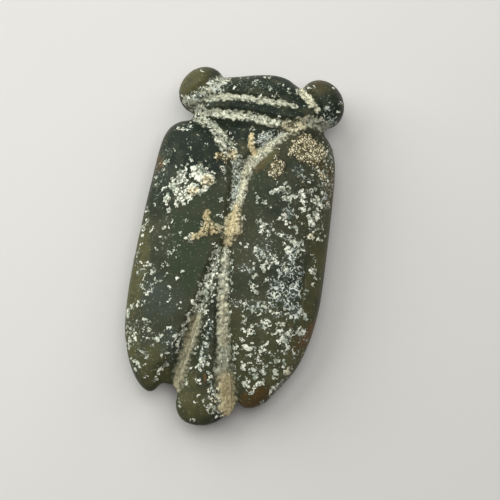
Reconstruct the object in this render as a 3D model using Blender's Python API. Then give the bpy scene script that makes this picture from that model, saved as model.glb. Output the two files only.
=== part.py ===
"""A jade cicada amulet, carved from one pebble of dark green stone and ground flat to lie on its belly.

Metres, +Z up, +Y towards the head. The blank is a domed torso with the tips of two folded wings, a tail,
a head and two eyes, fused into one skin. Wheel-cut grooves are then sunk into its back and belly, the edge
is chipped, the arrises are worn soft, and the belly is ground flat.
"""

import math
from dataclasses import dataclass

import bmesh
import bpy
import numpy as np
from mathutils import Vector

MM = 0.001

# Overall sizes
LENGTH = 55.2 * MM
WIDTH = 29.2 * MM
THICKNESS = 10.8 * MM
RIM_HEIGHT = 4.3 * MM  # the height of the widest outline above the bed
BED_GRIND = 0.3 * MM  # what is ground off the belly to make it lie still
BED_TOLERANCE = 0.01 * MM

# The pattern is drawn in millimetres for an amulet of this size; LENGTH and WIDTH stretch it
PATTERN_LENGTH = 55.0
PATTERN_WIDTH = 29.2

# Eyes: two bulging lobes at the corners of the head
EYE_LENGTH = 7.6 * MM  # along the eye's own axis
EYE_BREADTH = 6.5 * MM
EYE_DEPTH = 7.8 * MM
EYE_HEIGHT = 5.5 * MM

# Carving and wear
GROOVE_DEPTH = 1.0 * MM  # one unit of the depths of the grooves of the back
BELLY_GROOVE_DEPTH = 0.55 * MM
GROOVE_ROUNDNESS = 1.6  # a groove's section: 1 has a sharp floor, and more a rounder one
GROOVE_LIP = 1.15  # more than 1 softens its lips
CUT_FACING_MIN, CUT_FACING_FADE = 0.05, 0.4  # a cut fades out where the stone turns away
CHIP_DEPTH = 0.32 * MM
WEAR_PASSES = 8

# Meshing
VOXEL = 0.22 * MM
FACETS = 8600
RINGS = 16  # rings between a pebble's rim and its crown
CROWN_INSET = 0.985  # how near the last ring comes to the spine
CURVE_STEPS = 8  # points between two drawn points of a smooth curve

JADE_COLOUR = (0.055, 0.066, 0.045, 1.0)
JADE_ROUGHNESS = 0.38


@dataclass(frozen=True)
class Pebble:
    """A pillow-shaped lobe of the blank.

    outline is a smooth closed curve on the pattern, and spine is the line that the lobe rises to. fullness is
    the superellipse power of its section: 2 is an ellipse, and more is flatter with tighter edges. rise is
    how far it goes from the rim towards the profiles of back and belly.
    """

    outline: tuple
    spine: tuple
    fullness: float
    rise: float = 1.0


@dataclass(frozen=True)
class Groove:
    """A cut along a smooth open path on the pattern.

    left and right are its reach in millimetres to each side of the path, and depth is in units of
    GROOVE_DEPTH. Each is a few values spread evenly over the path. A path that runs from tail to head has
    its left towards -X, and one that runs from -X to +X has its left towards the head.
    """

    path: tuple
    left: tuple
    right: tuple
    depth: tuple


# Long profile of the back and the belly: (y on the pattern, share of THICKNESS)
BACK_PROFILE = (
    (-27.5, 0.55), (-22, 0.67), (-16, 0.79), (-8, 0.91), (0, 0.97), (8, 1.0), (15, 0.99), (20, 0.94),
    (24, 0.84), (27.5, 0.70),
)
BELLY_PROFILE = ((-27.5, 0.16), (-17, 0.06), (-9, 0.01), (0, 0.0), (12, 0.01), (21, 0.05), (27.5, 0.15))

TORSO = Pebble(
    outline=(
        (-8.6, 18.0), (-12.1, 17.0), (-13.95, 14.2), (-14.4, 7.0), (-14.55, -1.0), (-14.45, -9.5),
        (-13.5, -16.5), (-11.2, -20.7), (-8.2, -22.2), (-5.0, -22.3), (-0.5, -23.2), (4.4, -22.9),
        (8.4, -21.4), (11.4, -18.6), (13.6, -13.9), (14.45, -7.5), (14.15, -0.5), (13.4, 8.5),
        (12.6, 15.0), (11.0, 18.5), (8.2, 20.0), (0.0, 21.5),
    ),
    spine=((-0.8, 11.0), (0.0, -12.0)),
    fullness=2.7,
)
LEFT_WING_TIP = Pebble(
    outline=(
        (-12.9, -2.0), (-13.9, -9.0), (-13.7, -14.5), (-12.6, -19.0), (-10.6, -22.4), (-8.6, -23.9),
        (-7.2, -23.2), (-5.4, -19.0), (-3.4, -11.0), (-5.0, -2.0), (-9.0, 0.0),
    ),
    spine=((-8.8, -8.0), (-9.0, -18.6)),
    fullness=2.3,
    rise=0.84,
)
RIGHT_WING_TIP = Pebble(
    outline=(
        (12.9, -2.0), (14.1, -9.0), (13.5, -14.3), (11.7, -18.7), (9.3, -22.1), (6.9, -23.5),
        (5.3, -22.7), (3.8, -18.0), (2.4, -11.0), (5.0, -2.0), (9.0, 0.0),
    ),
    spine=((8.6, -8.0), (7.6, -18.0)),
    fullness=2.3,
    rise=0.84,
)
TAIL = Pebble(
    outline=(
        (-1.6, -8.0), (-3.4, -14.0), (-3.95, -22.5), (-3.75, -25.6), (-2.1, -27.3), (0.6, -27.4),
        (3.1, -26.0), (4.7, -23.2), (4.2, -18.0), (1.6, -9.0),
    ),
    spine=((-0.4, -12.0), (-0.5, -23.4)),
    fullness=2.3,
)
HEAD = Pebble(
    outline=(
        (-9.4, 17.0), (-9.9, 19.4), (-10.2, 23.0), (-7.0, 24.9), (-4.6, 25.6), (-1.6, 26.5), (1.0, 26.95),
        (3.0, 26.7), (4.6, 25.9), (7.2, 25.2), (9.6, 23.4), (9.8, 19.8), (8.6, 17.4), (0.0, 15.0),
    ),
    spine=((-4.2, 20.6), (3.8, 21.0)),
    fullness=2.6,
)

# Eyes on the pattern: (x, y, slant of the long axis from +X in degrees)
LEFT_EYE = (-9.6, 22.4, 60.0)
RIGHT_EYE = (8.7, 23.9, -52.0)

# Cuts of the back that run lengthwise, from tail to head
LEFT_CHANNEL = Groove(
    path=(
        (-5.4, -23.4), (-5.2, -22.2), (-4.9, -20.6), (-4.4, -18.4), (-3.9, -15.6), (-3.4, -12.6),
        (-3.0, -9.6), (-2.6, -5.5), (-1.9, -1.0),
    ),
    left=(3.0, 3.0, 2.9, 2.4, 1.9, 1.5, 1.2, 1.0, 0.9),
    right=(1.4, 1.2, 1.0, 0.9, 0.9),
    depth=(0.3, 1.3, 2.3, 2.5, 2.2, 1.8, 1.4, 1.0, 0.6),
)
LEFT_FLANK = Groove(
    path=((-4.1, -24.5), (-4.0, -20.5), (-3.7, -16.0), (-2.8, -8.0)),
    left=(0.9, 1.4, 1.4, 1.0),
    right=(3.2, 3.0, 2.7, 1.6),
    depth=(0.3, 0.8, 0.8, 0.2),
)
RIGHT_CHANNEL = Groove(
    path=(
        (5.2, -25.0), (4.7, -23.2), (4.2, -21.5), (3.2, -18.4), (2.3, -15.7), (1.3, -12.5), (0.5, -9.5),
        (-0.1, -6.5), (-0.6, -3.0), (-1.0, 0.5),
    ),
    left=(3.6, 3.5, 3.2, 2.7, 2.3, 1.8, 1.4, 1.1, 0.9, 0.8),
    right=(1.2, 1.1, 0.9, 0.8),
    depth=(0.4, 1.2, 1.8, 2.0, 1.8, 1.6, 1.3, 1.1, 1.0, 0.7),
)
WING_VALLEY = Groove(
    path=((-1.3, -8.0), (-1.2, 0.0), (-1.3, 8.0), (-1.4, 13.0)),
    left=(5.0, 5.5, 5.5, 4.0),
    right=(5.0, 5.5, 5.5, 4.0),
    depth=(0.1, 0.5, 0.5, 0.1),
)
SPINE = Groove(
    path=((-1.15, -1.6), (-1.15, 2.6), (-1.2, 7.0), (-1.35, 11.4)),
    left=(0.8, 1.1, 1.3, 1.4),
    right=(0.8, 1.1, 1.3, 1.4),
    depth=(0.5, 1.0, 1.1, 1.0),
)
LEFT_SHOULDER_CUT = Groove(
    path=((-1.7, 10.0), (-2.4, 12.6), (-3.6, 14.5), (-5.4, 16.3), (-7.6, 17.8), (-9.8, 18.5), (-11.8, 18.7)),
    left=(1.0, 1.1, 1.2, 1.2),
    right=(1.0, 1.1, 1.1, 1.2),
    depth=(0.5, 1.0, 1.1, 1.1, 1.1, 1.3, 1.6),
)
RIGHT_SHOULDER_CUT = Groove(
    path=((-0.6, 10.0), (-0.1, 12.6), (0.8, 14.2), (2.2, 15.9), (3.8, 17.4), (5.2, 18.9)),
    left=(1.0, 0.9, 0.9),
    right=(1.4, 2.0, 1.8, 1.3, 1.0, 1.0),
    depth=(0.6, 1.0, 1.1, 1.1, 1.0, 0.9),
)

# Cuts of the back that run crosswise, from -X to +X
RIGHT_NECK_CUT = Groove(
    path=((4.6, 19.2), (7.4, 20.1), (9.6, 19.8), (11.4, 19.2)),
    left=(0.9, 1.2),
    right=(0.9, 1.2),
    depth=(0.5, 1.1, 1.5, 1.8),
)
FRONT_BAND = Groove(
    path=((-10.2, 19.4), (-8.5, 20.7), (-5.0, 21.9), (-1.0, 22.25), (2.6, 22.3), (5.6, 22.0)),
    left=(0.6, 0.75, 0.75, 0.6),
    right=(0.6, 0.65, 0.65, 0.5),
    depth=(0.4, 0.9, 1.0, 1.0, 1.0, 0.6),
)
REAR_BAND = Groove(
    path=((-8.6, 18.4), (-6.0, 19.0), (-3.0, 19.3), (1.0, 19.4), (5.0, 19.4)),
    left=(0.8, 0.85, 0.8),
    right=(0.7, 0.75, 0.8),
    depth=(0.7, 1.0, 1.0, 1.0, 0.8),
)
LEFT_EYE_CUT = Groove(
    path=((-12.0, 19.6), (-10.7, 20.9), (-9.4, 22.4), (-8.1, 23.9), (-6.2, 25.4)),
    left=(0.8, 1.0, 0.9),
    right=(0.8, 1.0, 0.9),
    depth=(0.3, 0.5, 0.6, 0.6, 0.6),
)
RIGHT_EYE_CUT = Groove(
    path=((4.2, 26.2), (5.8, 25.0), (7.3, 23.8), (8.4, 22.4), (9.4, 20.8)),
    left=(0.8, 0.8),
    right=(0.8, 0.8),
    depth=(1.0, 1.2, 1.1, 0.6, 0.2),
)
BACK_GROOVES = (
    LEFT_CHANNEL, LEFT_FLANK, RIGHT_CHANNEL, WING_VALLEY, SPINE, LEFT_SHOULDER_CUT, RIGHT_SHOULDER_CUT,
    RIGHT_NECK_CUT, FRONT_BAND, REAR_BAND, LEFT_EYE_CUT, RIGHT_EYE_CUT,
)

# Belly: a snout between two slanting cuts, and the rings of the abdomen behind the ground spot
SNOUT_TOP, SNOUT_TIP, SNOUT_HALF_WIDTH = 24.0, 15.0, 5.6
BELLY_RINGS = 3
BELLY_RING_FIRST, BELLY_RING_PITCH = -15.2, 3.4
BELLY_RING_HALF_WIDTH, BELLY_RING_SAG = 3.4, 0.8
BELLY_CUT_REACH = (0.8, 0.8)

# Chips of the edge: (x, y, height, radius) in millimetres
CHIPS = ((11.9, -18.2, 5.2, 2.0), (10.6, -20.4, 4.8, 2.0))


def smooth_curve(stations, closed):
    """Points of a Catmull-Rom curve through the stations, which may carry any number of values each."""
    stations = np.array(stations, float)
    count = len(stations)
    points = []
    for i in range(count if closed else count - 1):
        if closed:
            before, start, end, after = (stations[(i + k) % count] for k in (-1, 0, 1, 2))
        else:
            before, start, end, after = (stations[min(max(i + k, 0), count - 1)] for k in (-1, 0, 1, 2))
        for step in range(CURVE_STEPS):
            t = step / CURVE_STEPS
            points.append(
                start
                + 0.5 * t * (end - before)
                + 0.5 * t**2 * (2 * before - 5 * start + 4 * end - after)
                + 0.5 * t**3 * (3 * start - before - 3 * end + after)
            )
    if not closed:
        points.append(stations[-1])
    return np.array(points)


def on_plan(points):
    """Pattern millimetres to metres on the amulet."""
    return np.array(points, float) * (WIDTH / PATTERN_WIDTH, LENGTH / PATTERN_LENGTH)


def profile_height(profile, y):
    """Height of a long profile at y, in metres, eased between its stations."""
    stations = smooth_curve(profile, closed=False)
    return THICKNESS * np.interp(y, stations[:, 0] * LENGTH / PATTERN_LENGTH, stations[:, 1])


def foot_on_line(point, start, end):
    """The point of the line from start to end that lies nearest to point."""
    along = end - start
    share = min(max((point - start).dot(along) / along.dot(along), 0.0), 1.0)
    return start + share * along


def pebble(name, lobe):
    """A closed pillow in the shape of the lobe, from the belly's profile to the back's along its spine."""
    edge = on_plan(smooth_curve(lobe.outline, closed=True))
    start, end = on_plan(lobe.spine)
    feet = np.array([foot_on_line(point, start, end) for point in edge])
    power = 2 / lobe.fullness
    mesh = bmesh.new()
    rings = []
    for level in range(-RINGS, RINGS + 1):
        angle = math.pi / 2 * level / RINGS
        inset = 1 - math.cos(angle) ** power if abs(level) < RINGS else CROWN_INSET
        rise = abs(math.sin(angle)) ** power * lobe.rise
        ring = edge + (feet - edge) * inset
        if level >= 0:
            crown = profile_height(BACK_PROFILE, ring[:, 1])
        else:
            crown = profile_height(BELLY_PROFILE, ring[:, 1]) - BED_GRIND
        height = RIM_HEIGHT + (crown - RIM_HEIGHT) * rise
        rings.append([mesh.verts.new((x, y, z)) for (x, y), z in zip(ring, height)])
    for lower, upper in zip(rings, rings[1:]):
        for i in range(len(lower)):
            j = (i + 1) % len(lower)
            mesh.faces.new((lower[i], lower[j], upper[j], upper[i]))
    mesh.faces.new(rings[0][::-1])
    mesh.faces.new(rings[-1])
    bmesh.ops.recalc_face_normals(mesh, faces=mesh.faces)
    return link_mesh(name, mesh)


def eye(name, x, y, slant_degrees):
    """An egg-shaped eye whose long axis slants from +X."""
    mesh = bmesh.new()
    bmesh.ops.create_uvsphere(mesh, u_segments=40, v_segments=24, radius=1.0)
    bmesh.ops.scale(mesh, vec=(EYE_LENGTH / 2, EYE_BREADTH / 2, EYE_DEPTH / 2), verts=mesh.verts)
    slant = math.radians(slant_degrees)
    for vertex in mesh.verts:
        across, along = vertex.co.x, vertex.co.y
        vertex.co.x = across * math.cos(slant) - along * math.sin(slant)
        vertex.co.y = across * math.sin(slant) + along * math.cos(slant)
    centre_x, centre_y = on_plan((x, y))
    bmesh.ops.translate(mesh, vec=(centre_x, centre_y, EYE_HEIGHT), verts=mesh.verts)
    return link_mesh(name, mesh)


def link_mesh(name, mesh):
    """Ends a bmesh as an object of the scene."""
    data = bpy.data.meshes.new(name)
    mesh.to_mesh(data)
    mesh.free()
    made = bpy.data.objects.new(name, data)
    bpy.context.scene.collection.objects.link(made)
    return made


def blank():
    """The pebbles and eyes, joined into one object whose bodies still overlap."""
    pieces = [
        pebble("torso", TORSO),
        pebble("left_wing_tip", LEFT_WING_TIP),
        pebble("right_wing_tip", RIGHT_WING_TIP),
        pebble("tail", TAIL),
        pebble("head", HEAD),
        eye("left_eye", *LEFT_EYE),
        eye("right_eye", *RIGHT_EYE),
    ]
    with bpy.context.temp_override(active_object=pieces[0], selected_editable_objects=pieces):
        bpy.ops.object.join()
    return pieces[0]


def reskin(stone):
    """One closed skin round everything, as an even mesh."""
    skin = stone.modifiers.new("skin", "REMESH")
    skin.mode = "VOXEL"
    skin.voxel_size = VOXEL
    apply_modifiers(stone)


def apply_modifiers(stone):
    """Makes the object's evaluated mesh its own."""
    graph = bpy.context.evaluated_depsgraph_get()
    finished = bpy.data.meshes.new_from_object(stone.evaluated_get(graph))
    stone.modifiers.clear()
    stone.data = finished


def spread(values, shares):
    """A groove's few values, spread evenly over its path and read at these shares of it."""
    return np.interp(shares, np.linspace(0, 1, len(values)), values)


def cut_groove(points, facing, groove, unit, sign):
    """Sinks one groove into the points that face its way: sign is 1 for the back and -1 for the belly."""
    line = on_plan(smooth_curve(groove.path, closed=False))
    runs = len(line) - 1
    distance = np.full(len(points), np.inf)
    share = np.zeros(len(points))
    on_left = np.zeros(len(points), bool)
    for run, (start, end) in enumerate(zip(line, line[1:])):
        along = end - start
        offset = points[:, :2] - start
        step = np.clip(offset @ along / (along @ along), 0, 1)
        gap = np.linalg.norm(offset - step[:, None] * along, axis=1)
        nearer = gap < distance
        distance[nearer] = gap[nearer]
        share[nearer] = (run + step[nearer]) / runs
        on_left[nearer] = (along[0] * offset[:, 1] > along[1] * offset[:, 0])[nearer]
    reach = np.where(on_left, spread(groove.left, share), spread(groove.right, share)) * MM
    section = (1 - np.clip(distance / reach, 0, 1) ** GROOVE_ROUNDNESS) ** GROOVE_LIP
    exposure = np.clip((sign * facing - CUT_FACING_MIN) / CUT_FACING_FADE, 0, 1)
    points[:, 2] -= sign * unit * spread(groove.depth, share) * section * exposure


def belly_grooves():
    """The cuts of the belly: two that bound the snout, and a bowed ring for each segment."""
    for side in (-1, 1):
        yield Groove(
            path=((side * SNOUT_HALF_WIDTH, SNOUT_TOP), (0.0, SNOUT_TIP)),
            left=BELLY_CUT_REACH,
            right=BELLY_CUT_REACH,
            depth=(0.5, 1.0, 0.2),
        )
    for ring in range(BELLY_RINGS):
        y = BELLY_RING_FIRST - ring * BELLY_RING_PITCH
        end_y = y + BELLY_RING_SAG
        yield Groove(
            path=((-BELLY_RING_HALF_WIDTH, end_y), (0.0, y), (BELLY_RING_HALF_WIDTH, end_y)),
            left=BELLY_CUT_REACH,
            right=BELLY_CUT_REACH,
            depth=(0.2, 1.0, 0.2),
        )


def carve(stone):
    """Cuts every groove into the stone's points."""
    mesh = stone.data
    points = np.empty(len(mesh.vertices) * 3)
    mesh.vertices.foreach_get("co", points)
    points = points.reshape(-1, 3)
    facing = np.array([vertex.normal.z for vertex in mesh.vertices])
    for groove in BACK_GROOVES:
        cut_groove(points, facing, groove, GROOVE_DEPTH, 1)
    for groove in belly_grooves():
        cut_groove(points, facing, groove, BELLY_GROOVE_DEPTH, -1)
    for x, y, height, radius in CHIPS:
        centre = np.append(on_plan((x, y)), height * MM)
        offset = np.linalg.norm(points - centre, axis=1) / (radius * MM)
        points[:, 0] -= math.copysign(CHIP_DEPTH, x) * np.clip(1 - offset**2, 0, 1)
    mesh.vertices.foreach_set("co", points.ravel())
    mesh.update()


def wear(stone):
    """Softens the arrises, as long handling does."""
    soften = stone.modifiers.new("wear", "SMOOTH")
    soften.factor = 0.5
    soften.iterations = WEAR_PASSES
    apply_modifiers(stone)


def facet(stone):
    """Leaves about FACETS triangles, most of them where the carving turns."""
    stone.data.calc_loop_triangles()
    thin = stone.modifiers.new("facets", "DECIMATE")
    thin.ratio = FACETS / len(stone.data.loop_triangles)
    thin.use_collapse_triangulate = True
    apply_modifiers(stone)


def grind_belly(stone):
    """Cuts off all that lies below the bed, and closes the cut with one flat face."""
    mesh = bmesh.new()
    mesh.from_mesh(stone.data)
    whole = mesh.verts[:] + mesh.edges[:] + mesh.faces[:]
    bmesh.ops.bisect_plane(mesh, geom=whole, plane_co=(0, 0, 0), plane_no=(0, 0, -1), clear_outer=True)
    rim = [edge for edge in mesh.edges if edge.is_boundary]
    bmesh.ops.holes_fill(mesh, edges=rim)
    bmesh.ops.triangulate(mesh, faces=mesh.faces)
    mesh.to_mesh(stone.data)
    mesh.free()


def true_up_bed(stone):
    """Brings the points of the bed back to one plane after the facetting."""
    for vertex in stone.data.vertices:
        if vertex.co.z < BED_TOLERANCE:
            vertex.co.z = 0.0


def centre_on_origin(stone):
    """Puts the origin below the middle of the amulet's outline."""
    corners = [Vector(corner) for corner in stone.bound_box]
    for axis in (0, 1):
        places = [corner[axis] for corner in corners]
        stone.location[axis] = -(min(places) + max(places)) / 2


def jade():
    """Dark green nephrite with a worn polish."""
    material = bpy.data.materials.new("jade")
    material.use_nodes = True
    shader = material.node_tree.nodes["Principled BSDF"]
    shader.inputs["Base Color"].default_value = JADE_COLOUR
    shader.inputs["Roughness"].default_value = JADE_ROUGHNESS
    shader.inputs["Metallic"].default_value = 0.0
    return material


def main():
    for old in list(bpy.data.objects):
        bpy.data.objects.remove(old)
    amulet = blank()
    amulet.name = "cicada_amulet"
    reskin(amulet)
    carve(amulet)
    reskin(amulet)
    wear(amulet)
    grind_belly(amulet)
    facet(amulet)
    true_up_bed(amulet)
    centre_on_origin(amulet)
    amulet.data.materials.clear()
    amulet.data.materials.append(jade())
    amulet.data.shade_smooth()


main()
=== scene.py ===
"""Dresses the jade cicada amulet: worn dark jade with burial deposits.

It lies on a pale sheet under soft studio light.
"""

import logging
import math
from dataclasses import dataclass, field
from enum import Enum
from typing import Sequence

import bmesh
import bpy
import numpy as np
from mathutils import Matrix, Vector


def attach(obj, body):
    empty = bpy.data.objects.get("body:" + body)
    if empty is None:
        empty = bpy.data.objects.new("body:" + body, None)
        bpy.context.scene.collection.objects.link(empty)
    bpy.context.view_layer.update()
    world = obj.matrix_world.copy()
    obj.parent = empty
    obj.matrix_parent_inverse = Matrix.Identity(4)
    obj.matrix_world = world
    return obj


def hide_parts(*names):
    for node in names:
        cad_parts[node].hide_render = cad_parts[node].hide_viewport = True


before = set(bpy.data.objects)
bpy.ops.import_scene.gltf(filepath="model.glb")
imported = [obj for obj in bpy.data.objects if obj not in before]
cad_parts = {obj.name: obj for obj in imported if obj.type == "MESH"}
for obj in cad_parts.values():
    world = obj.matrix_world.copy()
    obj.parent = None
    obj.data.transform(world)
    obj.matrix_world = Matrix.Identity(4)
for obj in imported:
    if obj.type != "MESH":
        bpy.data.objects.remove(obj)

MM = 0.001
NODE = "cicada_amulet"
BODY = "root"
LATTICE = 256  # cells before a noise repeats
OCTAVE_STEP = 17.3  # millimetres that each octave of a noise is moved on
NOISE_MIDDLE = 0.5  # about which a noise texture's values lie
NOISE_SPREAD = 3.4  # stretches them over 0 to 1
MIX_FIRST, MIX_SECOND, MIX_RESULT = 6, 7, 2  # a Mix node's colour sockets
RANDOM_LEAST, RANDOM_MOST, RANDOM_VALUE = 2, 3, 1  # a Random Value node's number sockets

Spot = tuple[float, float, float]
Colour = tuple[float, float, float]
Pair = tuple[Colour, Colour]
Ramp = tuple[float, float]
Socket = bpy.types.NodeSocket
Groups = dict[str, bpy.types.NodeTree]

log = logging.getLogger("amulet")


class Deposit(Enum):
    """What has settled on the stone or changed it. The value is the name of its attribute."""

    CALCITE = "calcite"
    VEIL = "veil"
    SOIL = "soil"
    SILT = "silt"
    PALE = "pale"
    OCHRE = "ochre"
    CLAY = "clay"
    GRAIN = "grain"


class Tint(Enum):
    """The stone's colour zones. Deep also holds painted shade, olive and brown a painted glow of light
    through the thin edges, and grey a painted sheen. The value is the name of its attribute.
    """

    DEEP_AND_SHADE = "deep"
    OLIVE_AND_LIGHT = "olive"
    BROWN = "brown"
    GREY_AND_SHEEN = "grey"
    GREEN = "green"
    RUST = "rust"


def smooth_step(low: float, high: float, value: np.ndarray) -> np.ndarray:
    """An eased ramp from 0 at low to 1 at high.

    Args:
        low: Where the ramp starts.
        high: Where it ends; below low for a falling ramp.
        value: The values to ramp.

    Returns:
        The ramped values.
    """
    share = np.clip((value - low) / (high - low), 0.0, 1.0)
    return share * share * (3 - 2 * share)


@dataclass(frozen=True)
class Lumps:
    """A noise over the mesh: its largest lumps in millimetres, its octaves and how each fades."""

    size: float
    octaves: int
    roughness: float = 0.5


@dataclass(frozen=True)
class Mottle:
    """A noise texture: how fine it is, its octaves, how each fades and how far it is bent."""

    scale: float
    detail: float
    roughness: float = 0.5
    bend: float = 0.0


class StoneNoise:
    """Seeded gradient noise over points in millimetres."""

    def __init__(self, seed: int) -> None:
        """Draws the lattice's gradients.

        Args:
            seed: The seed of the draw.
        """
        draw = np.random.default_rng(seed)
        self.turns = draw.permutation(LATTICE)
        gradients = draw.normal(size=(LATTICE, 3))
        self.gradients = gradients / np.linalg.norm(gradients, axis=1)[:, None]

    def _corner(self, cell: np.ndarray) -> np.ndarray:
        """The gradient at each lattice cell.

        Args:
            cell: Whole lattice coordinates.

        Returns:
            One gradient for each cell.
        """
        last = LATTICE - 1
        x, y, z = (cell[:, axis] & last for axis in range(3))
        return self.gradients[self.turns[(self.turns[(self.turns[x] + y) & last] + z) & last]]

    def plain(self, points: np.ndarray, size: float) -> np.ndarray:
        """One octave of noise.

        Args:
            points: Places in millimetres.
            size: The size of its lumps in millimetres.

        Returns:
            Values about 0, mostly within 0.5.
        """
        spot = points / size
        cell = np.floor(spot).astype(int)
        inside = spot - cell
        ease = inside**3 * (inside * (inside * 6 - 15) + 10)
        total = np.zeros(len(points))
        for corner in np.ndindex(2, 2, 2):
            step = np.array(corner)
            weight = np.prod(np.where(step == 1, ease, 1 - ease), axis=1)
            total += weight * np.einsum("ij,ij->i", self._corner(cell + step), inside - step)
        return total

    def fractal(self, points: np.ndarray, lumps: Lumps) -> np.ndarray:
        """Several octaves of noise, each half the size of the one before.

        Args:
            points: Places in millimetres.
            lumps: The noise's size, octaves and fading.

        Returns:
            Values about 0.
        """
        return sum(
            self.plain(points + OCTAVE_STEP * octave, lumps.size / 2**octave)
            * lumps.roughness**octave
            for octave in range(lumps.octaves)
        )

    def even(self, points: np.ndarray, lumps: Lumps) -> np.ndarray:
        """Fractal noise spread evenly from 0 to 1, so a share s of the stone lies above 1 - s.

        Args:
            points: Places in millimetres.
            lumps: The noise's size, octaves and fading.

        Returns:
            Values from 0 to 1.
        """
        rough = self.fractal(points, lumps)
        order = np.argsort(np.argsort(rough))
        return order / len(rough)


@dataclass(frozen=True)
class PhotoCamera:
    """The camera over the amulet. Distances are in millimetres and angles in degrees."""

    view_width: float = 75.9
    distance: float = 380.0
    tilt: float = 7.0
    roll: float = 11.5
    aim_height: float = 4.5
    object_right: float = -2.42
    object_up: float = 0.42
    marks_middle: tuple[float, float] = (-2.37, 0.33)
    sensor: float = 36.0
    nearest: float = 10.0

    def flat_directions(self) -> tuple[Vector, Vector]:
        """The picture's right and its up as they lie on the table.

        Returns:
            The two directions, of length 1.
        """
        turn = math.radians(self.roll)
        across, along = math.cos(turn), math.sin(turn)
        return Vector((across, along, 0)), Vector((-along, across, 0))

    def directions(self) -> tuple[Vector, Vector, Vector]:
        """The picture's right, its up and the way back to the camera.

        Returns:
            The three directions, of length 1.
        """
        right, flat_up = self.flat_directions()
        lean = math.radians(self.tilt)
        back = Vector((0, 0, math.cos(lean))) - flat_up * math.sin(lean)
        return right, back.cross(right), back

    def toward(self, across: float, up: float, height: float) -> Vector:
        """A place given by the picture's own right and up on the table.

        Args:
            across: How far it is to the picture's right.
            up: How far it is to the picture's top.
            height: How far it is above the table.

        Returns:
            The place in the shared frame.
        """
        right, flat_up = self.flat_directions()
        return right * across + flat_up * up + Vector((0, 0, height))

    def seen(self, points: np.ndarray) -> np.ndarray:
        """Where points show on the picture, from the middle of the marks along the amulet's axes.

        Args:
            points: Places in millimetres.

        Returns:
            Two picture coordinates for each point, in millimetres at the aim height.
        """
        right, up, back = (np.array(direction) for direction in self.directions())
        place = points - (0, 0, self.aim_height)
        shrink = self.distance / (self.distance - place @ back)
        across = (place @ right) * shrink + self.object_right - self.marks_middle[0]
        rise = (place @ up) * shrink + self.object_up - self.marks_middle[1]
        turn = math.radians(self.roll)
        cosine, sine = math.cos(turn), math.sin(turn)
        return np.stack([across * cosine - rise * sine, across * sine + rise * cosine], axis=1)

    def build(self) -> bpy.types.Object:
        """Makes the camera and has the scene use it.

        Returns:
            The camera.
        """
        lens = bpy.data.cameras.new("photo_camera")
        lens.sensor_width = self.sensor
        lens.lens = self.sensor * self.distance / self.view_width
        lens.clip_start = self.nearest * MM
        camera = bpy.data.objects.new("photo_camera", lens)
        bpy.context.scene.collection.objects.link(camera)
        right, up, back = self.directions()
        aim = Vector((0, 0, self.aim_height)) - right * self.object_right - up * self.object_up
        place = (aim + back * self.distance) * MM
        turn = Matrix((right, up, back)).transposed()
        camera.matrix_world = Matrix.Translation(place) @ turn.to_4x4()
        bpy.context.scene.camera = camera
        return camera


@dataclass(frozen=True)
class Coat:
    """A deposit along a line: how strong it is, and how far past the line's half width it goes.

    It may keep to the stops from start to just before end.
    """

    deposit: Deposit
    strength: float
    wider: float = 0.0
    start: int = 0
    end: int | None = None


@dataclass(frozen=True)
class Stroke:
    """Coats along one line on the picture.

    Each stop of the line is across, up and half its width, in millimetres.
    """

    coats: tuple[Coat, ...]
    stops: tuple[Spot, ...]


@dataclass(frozen=True)
class Flecks:
    """Flecks of one deposit: each is across, up and radius, in millimetres on the picture."""

    deposit: Deposit
    strength: float
    spots: tuple[Spot, ...]


@dataclass(frozen=True)
class Cloud:
    """A soft oval in which a deposit or tint gathers.

    Its middle and radii are in millimetres on the picture, and its turn is in degrees.
    """

    kind: Deposit | Tint
    strength: float
    middle: tuple[float, float]
    radii: tuple[float, float]
    turn: float = 0.0


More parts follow.
